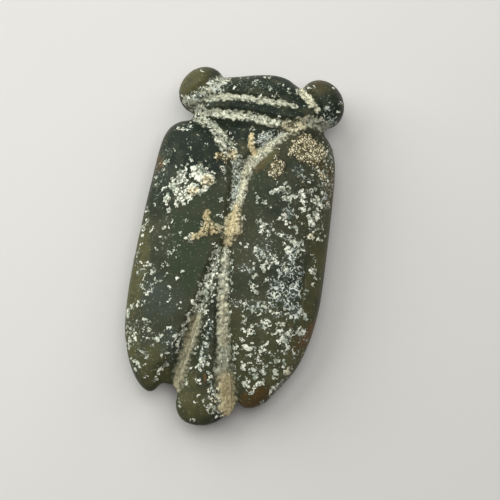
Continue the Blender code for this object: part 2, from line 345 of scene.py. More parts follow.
STROKES: tuple[Stroke, ...] = (
    # Front cross groove of the head
    Stroke((Coat(Deposit.CLAY, 0.82), Coat(Deposit.CALCITE, 0.36), Coat(Deposit.PALE, 0.76, 0.3)), (
        (-9.6, 20.8, 0.46), (-8.8, 21.3, 0.49), (-7.8, 21.7, 0.52), (-6.6, 22.1, 0.55),
        (-5.1, 22.3, 0.55), (-3.6, 22.5, 0.53), (-2.1, 22.6, 0.53), (-0.5, 22.7, 0.53),
        (1.0, 22.8, 0.52), (2.5, 22.9, 0.49), (4.1, 22.9, 0.39), (5.0, 22.8, 0.24),
    )),
    # Rear cross groove
    Stroke((Coat(Deposit.CLAY, 0.84), Coat(Deposit.CALCITE, 0.44), Coat(Deposit.PALE, 0.9, 0.3)), (
        (-8.2, 19.2, 0.49), (-7.1, 19.5, 0.61), (-6.1, 19.6, 0.7), (-4.6, 19.7, 0.73),
        (-3.0, 19.9, 0.73), (-1.5, 20.0, 0.71), (0.0, 20.0, 0.67), (1.6, 19.9, 0.64), (2.6, 19.8, 0.52),
    )),
    # Left corner of the neck
    Stroke((Coat(Deposit.CLAY, 0.66), Coat(Deposit.PALE, 0.62, 0.15)), (
        (-11.6, 20.7, 0.61), (-10.5, 20.1, 0.91), (-9.7, 19.3, 1.21), (-9.1, 18.4, 0.99),
        (-8.2, 18.0, 0.76),
    )),
    Stroke((Coat(Deposit.CALCITE, 0.26),), (
        (-11.6, 20.7, 0.46), (-10.5, 20.1, 0.76), (-9.7, 19.3, 1.06), (-9.1, 18.4, 0.83),
        (-8.2, 18.0, 0.61),
    )),
    # Between the left eye and the crown
    Stroke((Coat(Deposit.CLAY, 0.5), Coat(Deposit.PALE, 0.75, 0.31), Coat(Deposit.CALCITE, 0.34)), (
        (-6.2, 24.7, 0.55), (-7.2, 24.4, 0.83), (-8.1, 23.4, 0.83), (-9.0, 22.4, 0.67),
    )),
    # Between the crown and the right eye
    Stroke((Coat(Deposit.CLAY, 0.9), Coat(Deposit.PALE, 1.0, 0.3), Coat(Deposit.OCHRE, 0.3)), (
        (5.1, 25.4, 0.39), (5.8, 24.9, 0.58), (6.6, 24.4, 0.64), (7.3, 23.7, 0.64), (8.1, 23.0, 0.52),
    )),
    Stroke((Coat(Deposit.CALCITE, 0.4),), (
        (4.3, 25.9, 0.3), (5.4, 25.4, 0.46), (6.5, 24.5, 0.61), (7.5, 23.6, 0.55), (8.1, 23.0, 0.46),
    )),
    Stroke((Coat(Deposit.CLAY, 0.55),), (
        (3.7, 26.2, 0.21), (4.8, 26.2, 0.33), (6.1, 26.1, 0.27),
    )),
    # Right corner of the neck
    Stroke((Coat(Deposit.CLAY, 0.8), Coat(Deposit.PALE, 0.56, 0.3), Coat(Deposit.CALCITE, 0.24)), (
        (6.5, 20.9, 0.76), (8.2, 21.1, 0.91), (9.3, 20.9, 0.99), (10.3, 20.5, 0.76),
    )),
    Stroke((
        Coat(Deposit.SILT, 0.55), Coat(Deposit.CLAY, 0.66), Coat(Deposit.PALE, 0.6, 0.15),
        Coat(Deposit.CALCITE, 0.26), Coat(Deposit.OCHRE, 0.5),
    ), (
        (4.1, 19.8, 0.83), (5.2, 19.9, 1.14), (6.0, 20.2, 0.99),
    )),
    # Left shoulder cut
    Stroke((
        Coat(Deposit.CLAY, 0.64), Coat(Deposit.CALCITE, 0.55), Coat(Deposit.SILT, 0.3),
        Coat(Deposit.PALE, 0.8, 0.3),
    ), (
        (-8.4, 18.1, 0.49), (-7.2, 17.7, 0.61), (-6.3, 17.1, 0.7), (-5.6, 16.3, 0.85),
        (-4.9, 15.5, 1.0), (-4.0, 14.6, 1.0), (-3.1, 13.9, 0.91), (-2.3, 13.1, 0.76),
    )),
    # Right shoulder cut and the right half of the spine
    Stroke((Coat(Deposit.SILT, 0.9), Coat(Deposit.PALE, 1.0, 0.3), Coat(Deposit.CALCITE, 0.4)), (
        (4.1, 18.3, 0.67), (3.4, 17.4, 0.58), (2.3, 16.2, 0.61), (1.3, 15.1, 0.7), (0.6, 14.3, 0.82),
        (0.0, 13.3, 0.85), (-0.3, 12.3, 0.73), (-0.4, 11.3, 0.64), (-0.5, 10.2, 0.61),
        (-0.5, 8.8, 0.61), (-0.4, 7.5, 0.58), (-0.7, 6.2, 0.61),
    )),
    # The left half of the spine
    Stroke((Coat(Deposit.SILT, 0.25),), (
        (-2.0, 13.2, 0.76), (-2.0, 11.9, 0.76), (-1.8, 10.4, 0.7), (-1.7, 8.9, 0.61), (-1.4, 7.4, 0.49),
        (-1.6, 6.1, 0.36),
    )),
    Stroke((Coat(Deposit.VEIL, 0.7),), (
        (-2.0, 13.2, 0.91), (-2.0, 11.9, 0.91), (-1.8, 10.4, 0.85), (-1.7, 8.9, 0.76),
        (-1.4, 7.4, 0.64), (-1.6, 6.1, 0.52),
    )),
    # The yellow fill of the spine
    Stroke((
        Coat(Deposit.SILT, 1.0), Coat(Deposit.CLAY, 1.0), Coat(Deposit.CALCITE, 0.3),
        Coat(Deposit.PALE, 1.0, 0.46), Coat(Deposit.OCHRE, 0.9, 0.3),
    ), (
        (-0.9, 6.0, 0.61), (-0.8, 4.9, 0.91), (-0.9, 3.8, 1.21), (-0.9, 2.7, 1.31), (-1.1, 1.8, 1.12),
        (-1.1, 0.8, 0.76),
    )),
    # Right channel, from the spine to the tail
    Stroke((
        Coat(Deposit.SILT, 1.0), Coat(Deposit.PALE, 1.0, 0.3, end=9),
        Coat(Deposit.PALE, 0.72, 0.31, start=8, end=12),
        Coat(Deposit.PALE, 0.5, 0.15, start=11, end=14), Coat(Deposit.PALE, 0.12, 0.15, start=13),
        Coat(Deposit.CALCITE, 0.28, end=14), Coat(Deposit.CLAY, 0.7, end=9),
        Coat(Deposit.OCHRE, 0.35, start=6, end=11), Coat(Deposit.OCHRE, 0.8, start=14),
    ), (
        (-1.2, 0.3, 0.46), (-1.1, -0.6, 0.53), (-0.9, -2.1, 0.61), (-0.7, -3.6, 0.67),
        (-0.5, -5.1, 0.73), (-0.3, -6.6, 0.76), (-0.1, -8.1, 0.79), (0.2, -9.6, 0.82),
        (0.6, -11.1, 0.87), (1.0, -12.6, 0.91), (1.2, -14.1, 0.97), (1.5, -15.5, 1.03),
        (1.8, -17.0, 1.18), (2.1, -18.5, 1.4), (2.6, -20.0, 1.49), (3.2, -21.4, 1.46),
        (3.6, -22.9, 1.46), (3.5, -24.3, 1.06),
    )),
    # Left channel: speckled above, smooth silt below
    Stroke((Coat(Deposit.CALCITE, 0.55), Coat(Deposit.CLAY, 0.2), Coat(Deposit.PALE, 0.6)), (
        (-2.5, -0.2, 0.55), (-2.5, -0.9, 0.61), (-2.5, -2.4, 0.76), (-2.5, -4.0, 0.94),
        (-2.7, -5.6, 1.21), (-3.0, -7.2, 1.21), (-3.1, -8.7, 1.15), (-3.5, -9.9, 0.85),
    )),
    Stroke((Coat(Deposit.SILT, 0.95), Coat(Deposit.OCHRE, 0.35, start=1)), (
        (-3.4, -10.2, 0.82), (-3.5, -11.9, 0.97), (-3.5, -13.5, 0.97), (-3.8, -15.1, 0.97),
        (-4.0, -16.7, 0.97), (-4.1, -18.2, 1.0), (-4.3, -19.8, 1.0), (-4.3, -21.4, 0.91),
        (-4.1, -22.7, 0.61),
    )),
    Stroke((Coat(Deposit.PALE, 0.62),), (
        (-3.1, -10.3, 0.61), (-3.2, -11.9, 0.68), (-3.2, -13.4, 0.76), (-3.5, -15.0, 0.83),
        (-3.8, -16.6, 0.83),
    )),
    Stroke((Coat(Deposit.PALE, 0.35),), (
        (-3.8, -16.6, 0.91), (-4.0, -18.2, 0.91), (-4.1, -19.8, 0.91), (-4.1, -21.3, 0.91),
        (-4.0, -22.7, 0.61),
    )),
    # Both arrises of the right channel
    Stroke((Coat(Deposit.CALCITE, 0.4),), (
        (-0.3, -0.4, 0.27), (0.1, -2.2, 0.24), (0.4, -4.2, 0.24), (0.8, -6.4, 0.21), (1.1, -8.3, 0.18),
    )),
    Stroke((Coat(Deposit.CALCITE, 0.4),), (
        (2.4, -13.0, 0.18), (3.0, -15.2, 0.24), (3.5, -17.0, 0.21), (4.1, -18.9, 0.21),
    )),
)

OCHRE_STROKES: tuple[Stroke, ...] = (
    # The three-armed splash on the left wing
    Stroke((
        Coat(Deposit.CLAY, 0.92), Coat(Deposit.OCHRE, 1.0, 0.3), Coat(Deposit.PALE, 0.5, 0.15),
        Coat(Deposit.SOIL, 0.42),
    ), (
        (-5.1, 4.4, 0.52), (-5.1, 3.6, 0.39), (-4.5, 2.6, 0.76), (-3.9, 1.9, 0.82),
    )),
    Stroke((
        Coat(Deposit.CLAY, 0.9), Coat(Deposit.OCHRE, 1.0, 0.3, end=3), Coat(Deposit.PALE, 0.6, 0.16),
    ), (
        (-3.9, 1.9, 0.67), (-5.0, 1.4, 0.58), (-6.1, 0.6, 0.39), (-7.1, 0.1, 0.36),
    )),
    Stroke((Coat(Deposit.CLAY, 0.6),), (
        (-3.9, 2.1, 0.76), (-3.1, 2.6, 0.61), (-2.3, 2.4, 0.46),
    )),
    Stroke((Coat(Deposit.SOIL, 0.4),), (
        (-2.6, 2.5, 0.46), (-3.9, 1.9, 0.67), (-5.0, 1.4, 0.46),
    )),
    Stroke((Coat(Deposit.CALCITE, 0.3),), (
        (-5.0, 4.4, 0.46), (-6.8, 0.1, 0.46),
    )),
    # The brown lens on the thorax
    Stroke((Coat(Deposit.CLAY, 0.85), Coat(Deposit.OCHRE, 1.0, 0.15), Coat(Deposit.PALE, 0.5, 0.15)), (
        (-1.0, 17.4, 0.3), (-0.7, 16.5, 0.49), (-0.4, 15.5, 0.55), (0.0, 14.7, 0.46),
    )),
    # Yellowed silt
    Stroke((Coat(Deposit.OCHRE, 0.25),), (
        (4.1, 18.3, 0.61), (3.4, 17.4, 0.49), (2.3, 16.2, 0.49), (1.3, 15.1, 0.52), (0.6, 14.2, 0.58),
        (-0.1, 13.1, 0.64), (-0.4, 12.3, 0.61), (-0.4, 11.3, 0.55), (-0.5, 10.2, 0.52),
        (-0.5, 8.8, 0.55), (-0.4, 7.5, 0.52), (-0.7, 6.2, 0.61),
    )),
)

FLECKS: tuple[Flecks, ...] = (
    # The white crust on the left wing
    Flecks(Deposit.CALCITE, 1.03, (
        (-7.6, 11.2, 0.55), (-8.3, 10.5, 0.46), (-7.9, 10.1, 0.68), (-7.2, 10.4, 0.7),
        (-6.3, 10.1, 0.76), (-5.6, 9.8, 0.76), (-5.6, 8.9, 0.7), (-6.6, 9.0, 0.76), (-7.4, 9.3, 0.61),
        (-8.4, 9.6, 0.52), (-6.2, 8.1, 0.61), (-5.8, 8.4, 0.46), (-10.4, 9.5, 0.46), (-10.4, 8.7, 0.46),
        (-9.8, 8.8, 0.55), (-9.3, 8.6, 0.46), (-9.6, 9.6, 0.36), (-9.6, 10.2, 0.27), (-9.5, 10.9, 0.21),
        (-9.2, 11.7, 0.3), (-11.1, 8.4, 0.3), (-11.1, 7.9, 0.24), (-11.2, 7.3, 0.39),
        (-10.6, 6.9, 0.61), (-10.1, 7.5, 0.55), (-9.5, 6.8, 0.7), (-10.2, 6.5, 0.52), (-8.8, 7.1, 0.7),
        (-8.1, 7.6, 0.67), (-7.6, 7.9, 0.46), (-7.8, 6.9, 0.61), (-7.1, 7.2, 0.46), (-6.6, 7.6, 0.46),
        (-8.6, 6.1, 0.46), (-9.3, 6.4, 0.52), (-8.0, 6.2, 0.36), (-11.4, 5.2, 0.55), (-11.4, 5.8, 0.3),
        (-11.2, 4.6, 0.27), (-10.2, 4.8, 0.46), (-9.7, 5.4, 0.49), (-9.1, 5.4, 0.33), (-9.3, 5.8, 0.3),
        (-8.7, 5.0, 0.27), (-8.3, 5.4, 0.27), (-7.9, 5.8, 0.24), (-11.0, 3.6, 0.3), (-10.8, 4.0, 0.18),
        (-9.8, 4.5, 0.24),
    )),
    Flecks(Deposit.CALCITE, 0.85, (
        (-3.5, 6.7, 0.46), (-4.1, 11.5, 0.39), (-4.6, 11.6, 0.27), (-3.7, 11.1, 0.24),
        (-3.6, 10.2, 0.17), (-3.8, 8.2, 0.18), (-2.4, 7.8, 0.24), (-2.3, 6.9, 0.27), (-3.1, 4.4, 0.33),
        (-2.8, 5.0, 0.24), (-3.2, 3.9, 0.18),
    )),
    # Left wing, upper part
    Flecks(Deposit.CALCITE, 1.1, (
        (-8.8, 15.8, 0.18), (-10.3, 14.7, 0.14), (-7.3, 14.6, 0.18), (-9.9, 12.6, 0.15),
        (-9.7, 13.8, 0.12), (-6.9, 12.2, 0.15), (-7.7, 12.5, 0.12), (-11.8, 12.7, 0.12),
        (-12.4, 11.1, 0.15), (-13.0, 10.5, 0.21), (-12.8, 10.8, 0.18), (-13.0, 9.4, 0.21),
        (-12.7, 9.7, 0.18), (-12.7, 8.7, 0.18), (-11.2, 10.5, 0.18), (-10.3, 10.7, 0.18),
        (-13.8, 8.0, 0.2), (-13.5, 8.3, 0.15), (-13.6, 6.9, 0.15), (-13.2, 7.2, 0.15),
        (-12.3, 6.7, 0.21), (-12.5, 6.4, 0.15), (-12.0, 7.0, 0.15), (-12.1, 6.0, 0.12),
        (-13.3, 4.2, 0.18), (-13.0, 4.0, 0.14), (-14.2, 3.4, 0.15), (-14.3, 2.8, 0.18),
        (-13.9, 3.0, 0.15), (-10.9, 2.1, 0.15), (-10.1, 1.9, 0.15), (-10.0, 2.4, 0.12),
        (-7.9, 2.7, 0.21), (-8.2, 2.5, 0.15), (-11.2, 0.8, 0.2), (-11.0, 1.0, 0.15), (-10.4, 1.2, 0.21),
        (-10.2, 1.0, 0.14), (-12.7, 0.5, 0.24), (-13.1, 0.2, 0.15), (-13.1, -0.1, 0.14),
        (-8.6, 0.6, 0.24), (-8.8, 0.8, 0.12), (-9.6, 0.2, 0.14), (-12.3, -0.8, 0.15),
        (-11.6, -1.0, 0.15), (-10.9, -1.5, 0.15), (-8.1, -0.9, 0.14), (-8.3, -1.4, 0.15),
        (-3.6, 0.0, 0.15), (-5.7, 7.8, 0.12), (-11.1, -0.5, 0.14),
    )),
    # Left border
    Flecks(Deposit.CALCITE, 1.25, (
        (-13.7, 1.3, 0.27), (-14.0, 0.8, 0.24), (-14.2, 0.3, 0.3), (-13.7, 0.1, 0.21),
        (-14.3, -0.2, 0.18), (-14.1, -1.1, 0.24), (-14.0, -2.3, 0.18), (-14.1, -3.2, 0.2),
        (-14.2, -3.7, 0.2), (-14.1, -4.3, 0.15), (-14.1, -5.1, 0.18), (-14.0, -5.7, 0.15),
        (-13.6, -6.5, 0.23), (-13.5, -5.0, 0.23), (-13.3, -11.7, 0.24), (-13.8, -12.5, 0.42),
        (-13.5, -12.2, 0.27), (-13.7, -13.2, 0.3), (-13.6, -14.4, 0.23), (-13.5, -15.0, 0.21),
        (-13.3, -15.8, 0.2), (-12.9, -17.5, 0.21), (-12.7, -18.0, 0.24),
    )),
    # Left wing, middle and lower part
    Flecks(Deposit.CALCITE, 1.25, (
        (-7.5, -6.3, 0.24), (-6.8, -5.1, 0.18), (-10.2, -4.7, 0.2), (-10.2, -5.2, 0.15),
        (-9.6, -4.2, 0.21), (-9.2, -4.6, 0.2), (-9.4, -2.8, 0.23), (-9.8, -2.4, 0.15),
        (-8.9, -2.2, 0.23), (-8.9, -1.7, 0.14), (-8.4, -3.3, 0.15), (-10.9, -7.1, 0.24),
        (-10.4, -7.4, 0.21), (-10.0, -7.2, 0.17), (-11.3, -6.1, 0.27), (-11.5, -6.4, 0.15),
        (-9.4, -6.4, 0.14), (-9.2, -5.8, 0.11), (-12.6, -6.9, 0.14), (-12.6, -7.4, 0.12),
        (-12.9, -5.5, 0.15), (-12.6, -5.2, 0.18), (-12.2, -5.3, 0.15), (-11.9, -4.9, 0.24),
        (-11.6, -2.5, 0.21), (-11.3, -2.8, 0.15), (-12.4, -4.7, 0.14), (-8.6, -7.7, 0.18),
        (-8.2, -7.8, 0.15), (-8.0, -8.9, 0.15), (-8.3, -8.4, 0.09), (-8.0, -9.6, 0.2),
        (-8.2, -9.8, 0.14), (-6.1, -10.6, 0.2), (-6.3, -9.8, 0.12), (-6.8, -10.1, 0.12),
        (-6.4, -10.9, 0.12), (-9.3, -10.4, 0.14), (-12.0, -9.4, 0.23), (-11.6, -9.5, 0.24),
        (-11.4, -8.9, 0.2), (-11.1, -8.7, 0.15), (-12.2, -9.6, 0.15), (-12.6, -8.4, 0.15),
        (-12.3, -8.7, 0.12), (-11.7, -8.9, 0.12), (-11.0, -7.9, 0.12), (-12.7, -11.1, 0.24),
        (-12.5, -11.5, 0.24), (-12.1, -11.3, 0.15), (-11.7, -10.8, 0.21), (-12.2, -13.8, 0.18),
        (-12.6, -14.5, 0.14), (-12.9, -15.1, 0.2), (-12.4, -15.3, 0.2), (-12.4, -16.1, 0.14),
        (-11.3, -13.3, 0.18), (-11.0, -13.5, 0.23), (-10.6, -13.7, 0.23), (-11.2, -14.6, 0.2),
        (-11.1, -15.2, 0.12), (-10.2, -14.8, 0.26), (-12.0, -15.8, 0.23), (-12.1, -16.3, 0.3),
        (-11.9, -16.6, 0.18), (-12.7, -16.6, 0.27), (-12.7, -17.0, 0.24), (-10.7, -15.7, 0.15),
        (-10.3, -16.1, 0.15), (-10.0, -16.2, 0.15), (-8.9, -15.9, 0.26), (-8.6, -16.2, 0.3),
        (-8.5, -15.8, 0.24), (-8.3, -15.4, 0.24), (-9.2, -16.0, 0.18), (-7.3, -13.9, 0.21),
        (-7.2, -16.2, 0.2), (-7.1, -15.5, 0.12), (-9.2, -16.9, 0.23), (-11.2, -17.7, 0.15),
        (-10.9, -18.1, 0.15), (-10.6, -18.3, 0.18), (-10.3, -18.4, 0.15), (-7.5, -18.2, 0.3),
        (-11.8, -19.5, 0.2), (-9.7, -19.0, 0.21), (-9.7, -18.7, 0.14), (-11.3, -19.9, 0.33),
        (-10.9, -20.1, 0.33), (-10.5, -20.5, 0.24), (-11.1, -19.6, 0.18), (-9.9, -20.3, 0.18),
        (-9.6, -20.0, 0.14), (-11.0, -21.1, 0.2), (-9.2, -21.9, 0.2), (-8.4, -23.1, 0.17),
    )),
    # The chain along the left wing's arris
    Flecks(Deposit.CALCITE, 1.25, (
        (-4.4, -10.4, 0.29), (-4.9, -11.1, 0.26), (-4.8, -11.6, 0.17), (-4.6, -12.0, 0.2),
        (-4.7, -12.5, 0.17), (-5.2, -13.0, 0.3), (-4.8, -13.6, 0.33), (-5.1, -14.2, 0.35),
        (-5.3, -14.7, 0.3), (-5.5, -15.3, 0.24), (-6.0, -14.8, 0.27), (-6.1, -15.4, 0.23),
        (-6.1, -16.0, 0.24), (-6.2, -16.5, 0.15), (-5.3, -15.6, 0.15), (-5.5, -16.2, 0.29),
        (-5.3, -16.6, 0.2), (-5.5, -16.9, 0.23), (-5.5, -17.4, 0.24), (-6.6, -17.6, 0.18),
        (-6.7, -18.4, 0.15), (-6.5, -19.2, 0.23), (-6.9, -19.5, 0.27), (-6.7, -19.0, 0.14),
        (-7.4, -20.4, 0.33), (-7.6, -20.9, 0.27), (-7.1, -20.2, 0.21), (-7.7, -21.7, 0.29),
        (-7.9, -22.1, 0.21), (-7.5, -21.9, 0.18),
    )),
    # The speckled band beside the right channel
    Flecks(Deposit.CALCITE, 1.2, (
        (-3.2, -5.3, 0.3), (-3.5, -5.0, 0.23), (-3.1, -4.7, 0.2), (-4.0, -6.6, 0.3), (-4.2, -6.2, 0.21),
        (-3.6, -7.0, 0.23), (-3.0, -7.2, 0.24), (-2.9, -8.1, 0.24), (-3.2, -7.5, 0.21),
        (-4.1, -8.3, 0.24), (-4.2, -8.9, 0.24), (-4.3, -9.4, 0.26), (-4.5, -9.2, 0.18),
        (-2.6, -7.4, 0.21), (-3.1, -9.4, 0.21), (-2.8, -9.6, 0.26), (-2.3, -10.3, 0.3),
        (-2.5, -5.8, 0.2), (-2.6, -3.5, 0.24), (-2.2, -4.7, 0.21), (-2.5, -2.7, 0.2),
        (-2.5, -1.9, 0.18), (-3.3, -2.4, 0.2), (-3.3, -3.8, 0.18), (-1.7, -8.6, 0.18),
        (-1.9, -9.1, 0.14), (-1.7, -7.8, 0.21), (-1.8, -6.8, 0.21), (-2.2, -6.1, 0.2),
        (-2.0, -3.7, 0.2), (-1.9, -2.6, 0.17), (-2.3, -1.1, 0.21), (-3.0, -1.4, 0.18),
        (-2.0, -0.5, 0.18), (-3.2, 0.1, 0.17),
    )),
    # Head and eyes
    Flecks(Deposit.CALCITE, 1.15, (
        (-11.3, 21.0, 0.29), (-12.0, 20.5, 0.27), (-10.6, 22.0, 0.24), (-12.7, 21.1, 0.15),
        (-11.7, 20.0, 0.21), (-9.7, 22.8, 0.17), (-8.8, 21.8, 0.27), (-10.3, 25.2, 0.18),
        (-6.7, 24.0, 0.24), (-7.3, 23.2, 0.24), (-6.8, 23.0, 0.21), (-8.2, 24.0, 0.21),
        (-1.7, 25.3, 0.26), (-2.1, 25.1, 0.18), (-0.4, 26.2, 0.17), (0.1, 26.3, 0.15),
        (0.6, 24.7, 0.18), (0.4, 25.1, 0.15), (3.2, 25.2, 0.23), (3.5, 24.8, 0.15), (2.4, 25.7, 0.14),
        (-4.8, 23.9, 0.17), (-4.1, 24.4, 0.14), (-4.0, 25.3, 0.14), (-2.1, 24.3, 0.12),
        (-0.7, 23.4, 0.18), (-0.1, 23.5, 0.14), (1.4, 23.8, 0.18), (1.9, 23.9, 0.14),
        (-3.1, 25.6, 0.12), (-5.5, 24.4, 0.14), (-4.1, 23.5, 0.14), (10.0, 26.7, 0.12),
        (11.4, 24.6, 0.21), (11.3, 23.3, 0.21), (10.1, 24.3, 0.15), (11.1, 22.5, 0.18),
        (6.4, 26.1, 0.21), (7.0, 26.3, 0.14), (9.6, 24.5, 0.14), (4.9, 25.0, 0.27), (4.5, 25.2, 0.18),
        (6.2, 23.1, 0.11), (-1.0, 18.4, 0.17), (-0.6, 18.3, 0.14), (0.7, 18.1, 0.2), (0.4, 17.7, 0.18),
        (0.4, 16.6, 0.18), (0.6, 15.9, 0.15), (3.1, 17.6, 0.26), (1.4, 17.9, 0.15), (1.8, 18.3, 0.18),
        (2.6, 20.9, 0.21), (2.6, 20.3, 0.18), (-3.6, 16.4, 0.2), (-3.2, 15.9, 0.15), (-2.9, 15.5, 0.18),
        (-4.6, 17.1, 0.15), (-4.1, 16.9, 0.15), (-6.7, 16.6, 0.17), (-6.4, 16.5, 0.14),
    )),
    # Shoulders
    Flecks(Deposit.CALCITE, 0.95, (
        (-10.3, 17.4, 0.21), (-9.8, 17.5, 0.24), (-9.4, 17.6, 0.2), (-11.7, 16.1, 0.27),
        (-11.2, 16.1, 0.24), (-12.1, 15.8, 0.18), (-10.7, 16.2, 0.18), (10.4, 17.7, 0.21),
        (10.8, 17.2, 0.24), (10.9, 16.7, 0.15), (10.0, 18.4, 0.15), (9.2, 19.3, 0.12),
        (10.0, 19.0, 0.12), (10.9, 18.1, 0.12),
    )),
    # Right wing, upper part
    Flecks(Deposit.CALCITE, 1.3, (
        (4.0, 9.4, 0.3), (3.8, 9.2, 0.23), (4.3, 9.7, 0.3), (4.6, 9.7, 0.24), (4.9, 10.0, 0.3),
        (5.3, 10.3, 0.3), (5.6, 10.2, 0.23), (5.7, 11.0, 0.2), (6.0, 10.6, 0.18), (6.4, 10.2, 0.27),
        (6.3, 9.8, 0.23), (6.0, 9.7, 0.17), (6.4, 10.7, 0.15), (4.4, 10.9, 0.18), (6.0, 8.8, 0.27),
        (6.5, 8.9, 0.3), (6.7, 9.1, 0.3), (7.0, 9.4, 0.33), (7.0, 8.7, 0.2), (6.8, 8.2, 0.21),
        (5.8, 9.0, 0.21), (7.4, 9.5, 0.27), (7.8, 9.8, 0.24), (8.1, 10.1, 0.27), (8.3, 10.6, 0.21),
        (8.6, 9.9, 0.36), (8.9, 9.7, 0.27), (8.4, 9.5, 0.24), (8.6, 9.0, 0.24), (9.0, 8.7, 0.39),
        (9.2, 8.3, 0.3), (9.2, 7.7, 0.36), (8.9, 7.8, 0.27), (8.6, 7.8, 0.21), (9.4, 8.1, 0.18),
        (9.4, 10.5, 0.21), (9.7, 10.6, 0.33), (9.9, 11.0, 0.33), (10.2, 11.3, 0.24), (9.9, 10.2, 0.21),
        (10.2, 9.5, 0.33), (10.6, 9.2, 0.36), (10.8, 9.7, 0.33), (11.0, 10.1, 0.23), (11.1, 9.2, 0.36),
        (11.4, 8.9, 0.3), (11.7, 8.8, 0.23), (10.6, 10.0, 0.24), (10.2, 9.0, 0.2), (9.9, 8.1, 0.15),
        (11.0, 7.8, 0.33), (11.3, 8.0, 0.27), (11.3, 7.4, 0.33), (10.9, 7.4, 0.27), (11.5, 6.9, 0.27),
        (11.3, 6.6, 0.3), (11.0, 6.2, 0.3), (10.7, 6.3, 0.3), (10.4, 6.6, 0.2), (10.1, 7.0, 0.2),
        (11.0, 5.7, 0.24), (10.7, 5.8, 0.24), (11.6, 7.9, 0.2), (12.8, 9.2, 0.24), (12.6, 9.6, 0.18),
        (12.8, 8.9, 0.18), (10.2, 14.0, 0.24), (10.6, 13.6, 0.33), (11.0, 13.3, 0.33),
        (11.3, 13.2, 0.3), (10.9, 12.9, 0.24), (11.6, 13.3, 0.21), (11.6, 12.4, 0.2),
        (11.9, 12.7, 0.23), (12.2, 12.2, 0.18), (12.6, 12.4, 0.17), (11.4, 10.8, 0.21),
        (11.1, 15.2, 0.21), (10.7, 15.6, 0.18), (11.8, 14.7, 0.15), (9.3, 13.2, 0.21),
        (9.2, 12.2, 0.15), (2.0, 8.1, 0.2), (2.1, 7.6, 0.2), (3.0, 7.6, 0.23), (3.3, 7.9, 0.15),
        (2.7, 8.1, 0.12), (1.4, 8.9, 0.14), (4.2, 7.1, 0.12), (0.5, 4.7, 0.23), (0.3, 4.9, 0.18),
    )),
    # Right wing, middle
    Flecks(Deposit.CALCITE, 1.2, (
        (8.0, 6.8, 0.23), (8.2, 6.4, 0.18), (8.6, 6.6, 0.17), (6.2, 7.0, 0.2), (6.4, 6.5, 0.24),
        (6.6, 6.1, 0.27), (6.2, 5.7, 0.27), (5.7, 5.6, 0.2), (6.7, 5.6, 0.27), (7.0, 5.4, 0.3),
        (6.8, 5.1, 0.17), (7.5, 5.5, 0.23), (7.8, 5.4, 0.15), (8.1, 4.8, 0.21), (8.5, 4.9, 0.3),
        (8.8, 4.8, 0.27), (8.8, 4.5, 0.2), (7.6, 4.9, 0.17), (8.8, 5.8, 0.18), (9.3, 5.6, 0.18),
        (9.0, 4.1, 0.23), (2.9, 4.7, 0.26), (3.8, 4.3, 0.3), (3.8, 3.8, 0.27), (3.7, 3.5, 0.24),
        (3.6, 3.0, 0.2), (4.1, 4.5, 0.21), (4.2, 3.3, 0.27), (4.7, 3.2, 0.33), (4.6, 2.9, 0.18),
        (3.3, 3.9, 0.18), (4.9, 5.0, 0.17), (5.2, 3.9, 0.14), (10.8, 4.9, 0.15), (11.3, 4.9, 0.18),
        (11.8, 5.3, 0.2), (12.4, 5.0, 0.15), (12.6, 5.5, 0.17), (13.0, 4.5, 0.15), (12.3, 3.8, 0.35),
        (12.6, 3.8, 0.23), (12.2, 4.1, 0.21), (11.0, 4.1, 0.24), (10.8, 3.7, 0.2), (11.4, 3.8, 0.2),
        (10.2, 3.7, 0.17), (6.7, 3.3, 0.24), (6.6, 3.0, 0.2), (7.1, 3.7, 0.24), (7.5, 3.3, 0.24),
        (7.9, 3.3, 0.24), (8.2, 3.5, 0.2), (7.3, 2.7, 0.21), (7.2, 2.2, 0.2), (8.2, 2.7, 0.24),
        (8.6, 2.9, 0.27), (8.9, 2.5, 0.3), (9.4, 2.2, 0.3), (9.7, 2.7, 0.23), (10.1, 2.8, 0.21),
        (10.1, 1.8, 0.23), (9.7, 1.6, 0.2), (10.7, 1.8, 0.17), (11.2, 1.8, 0.17), (11.6, 1.3, 0.15),
        (8.1, 1.6, 0.3), (8.1, 1.1, 0.3), (8.5, 1.1, 0.29), (7.8, 1.1, 0.18), (8.1, -0.7, 0.23),
        (7.9, -1.2, 0.27), (8.3, -1.5, 0.3), (8.6, -1.9, 0.21), (7.9, -1.8, 0.18), (3.2, 0.6, 0.3),
        (3.1, 0.1, 0.24), (3.6, 0.1, 0.24), (4.1, -0.1, 0.23), (4.3, 0.4, 0.18), (4.7, -0.4, 0.2),
        (5.1, -0.1, 0.18), (5.6, 0.2, 0.18), (6.2, -0.3, 0.29), (6.4, -0.8, 0.3), (6.0, -1.0, 0.27),
        (5.6, -1.1, 0.26), (5.1, -1.2, 0.2), (6.9, -1.0, 0.23), (4.2, -1.2, 0.18), (4.5, -1.8, 0.21),
        (4.9, -2.2, 0.35), (5.2, -2.5, 0.27), (4.9, -1.8, 0.23), (5.7, -1.9, 0.24), (3.4, -1.8, 0.2),
        (3.7, -2.5, 0.18), (2.7, -1.3, 0.18), (2.4, -2.5, 0.18), (3.8, -3.8, 0.27), (4.2, -3.4, 0.21),
        (1.9, 1.0, 0.18), (1.7, 0.5, 0.18), (0.9, 0.7, 0.17), (3.4, -4.8, 0.32), (3.7, -5.2, 0.29),
        (4.0, -5.0, 0.24), (4.1, -5.6, 0.23), (4.7, -5.0, 0.18), (4.4, -6.1, 0.27), (4.8, -6.2, 0.24),
        (5.7, -4.0, 0.24), (6.0, -3.8, 0.18), (6.2, -5.9, 0.18), (6.5, -5.0, 0.23), (6.9, -4.7, 0.18),
        (7.3, -5.8, 0.24), (7.7, -6.1, 0.27), (8.0, -5.9, 0.18), (12.0, -1.0, 0.24), (12.3, -1.3, 0.26),
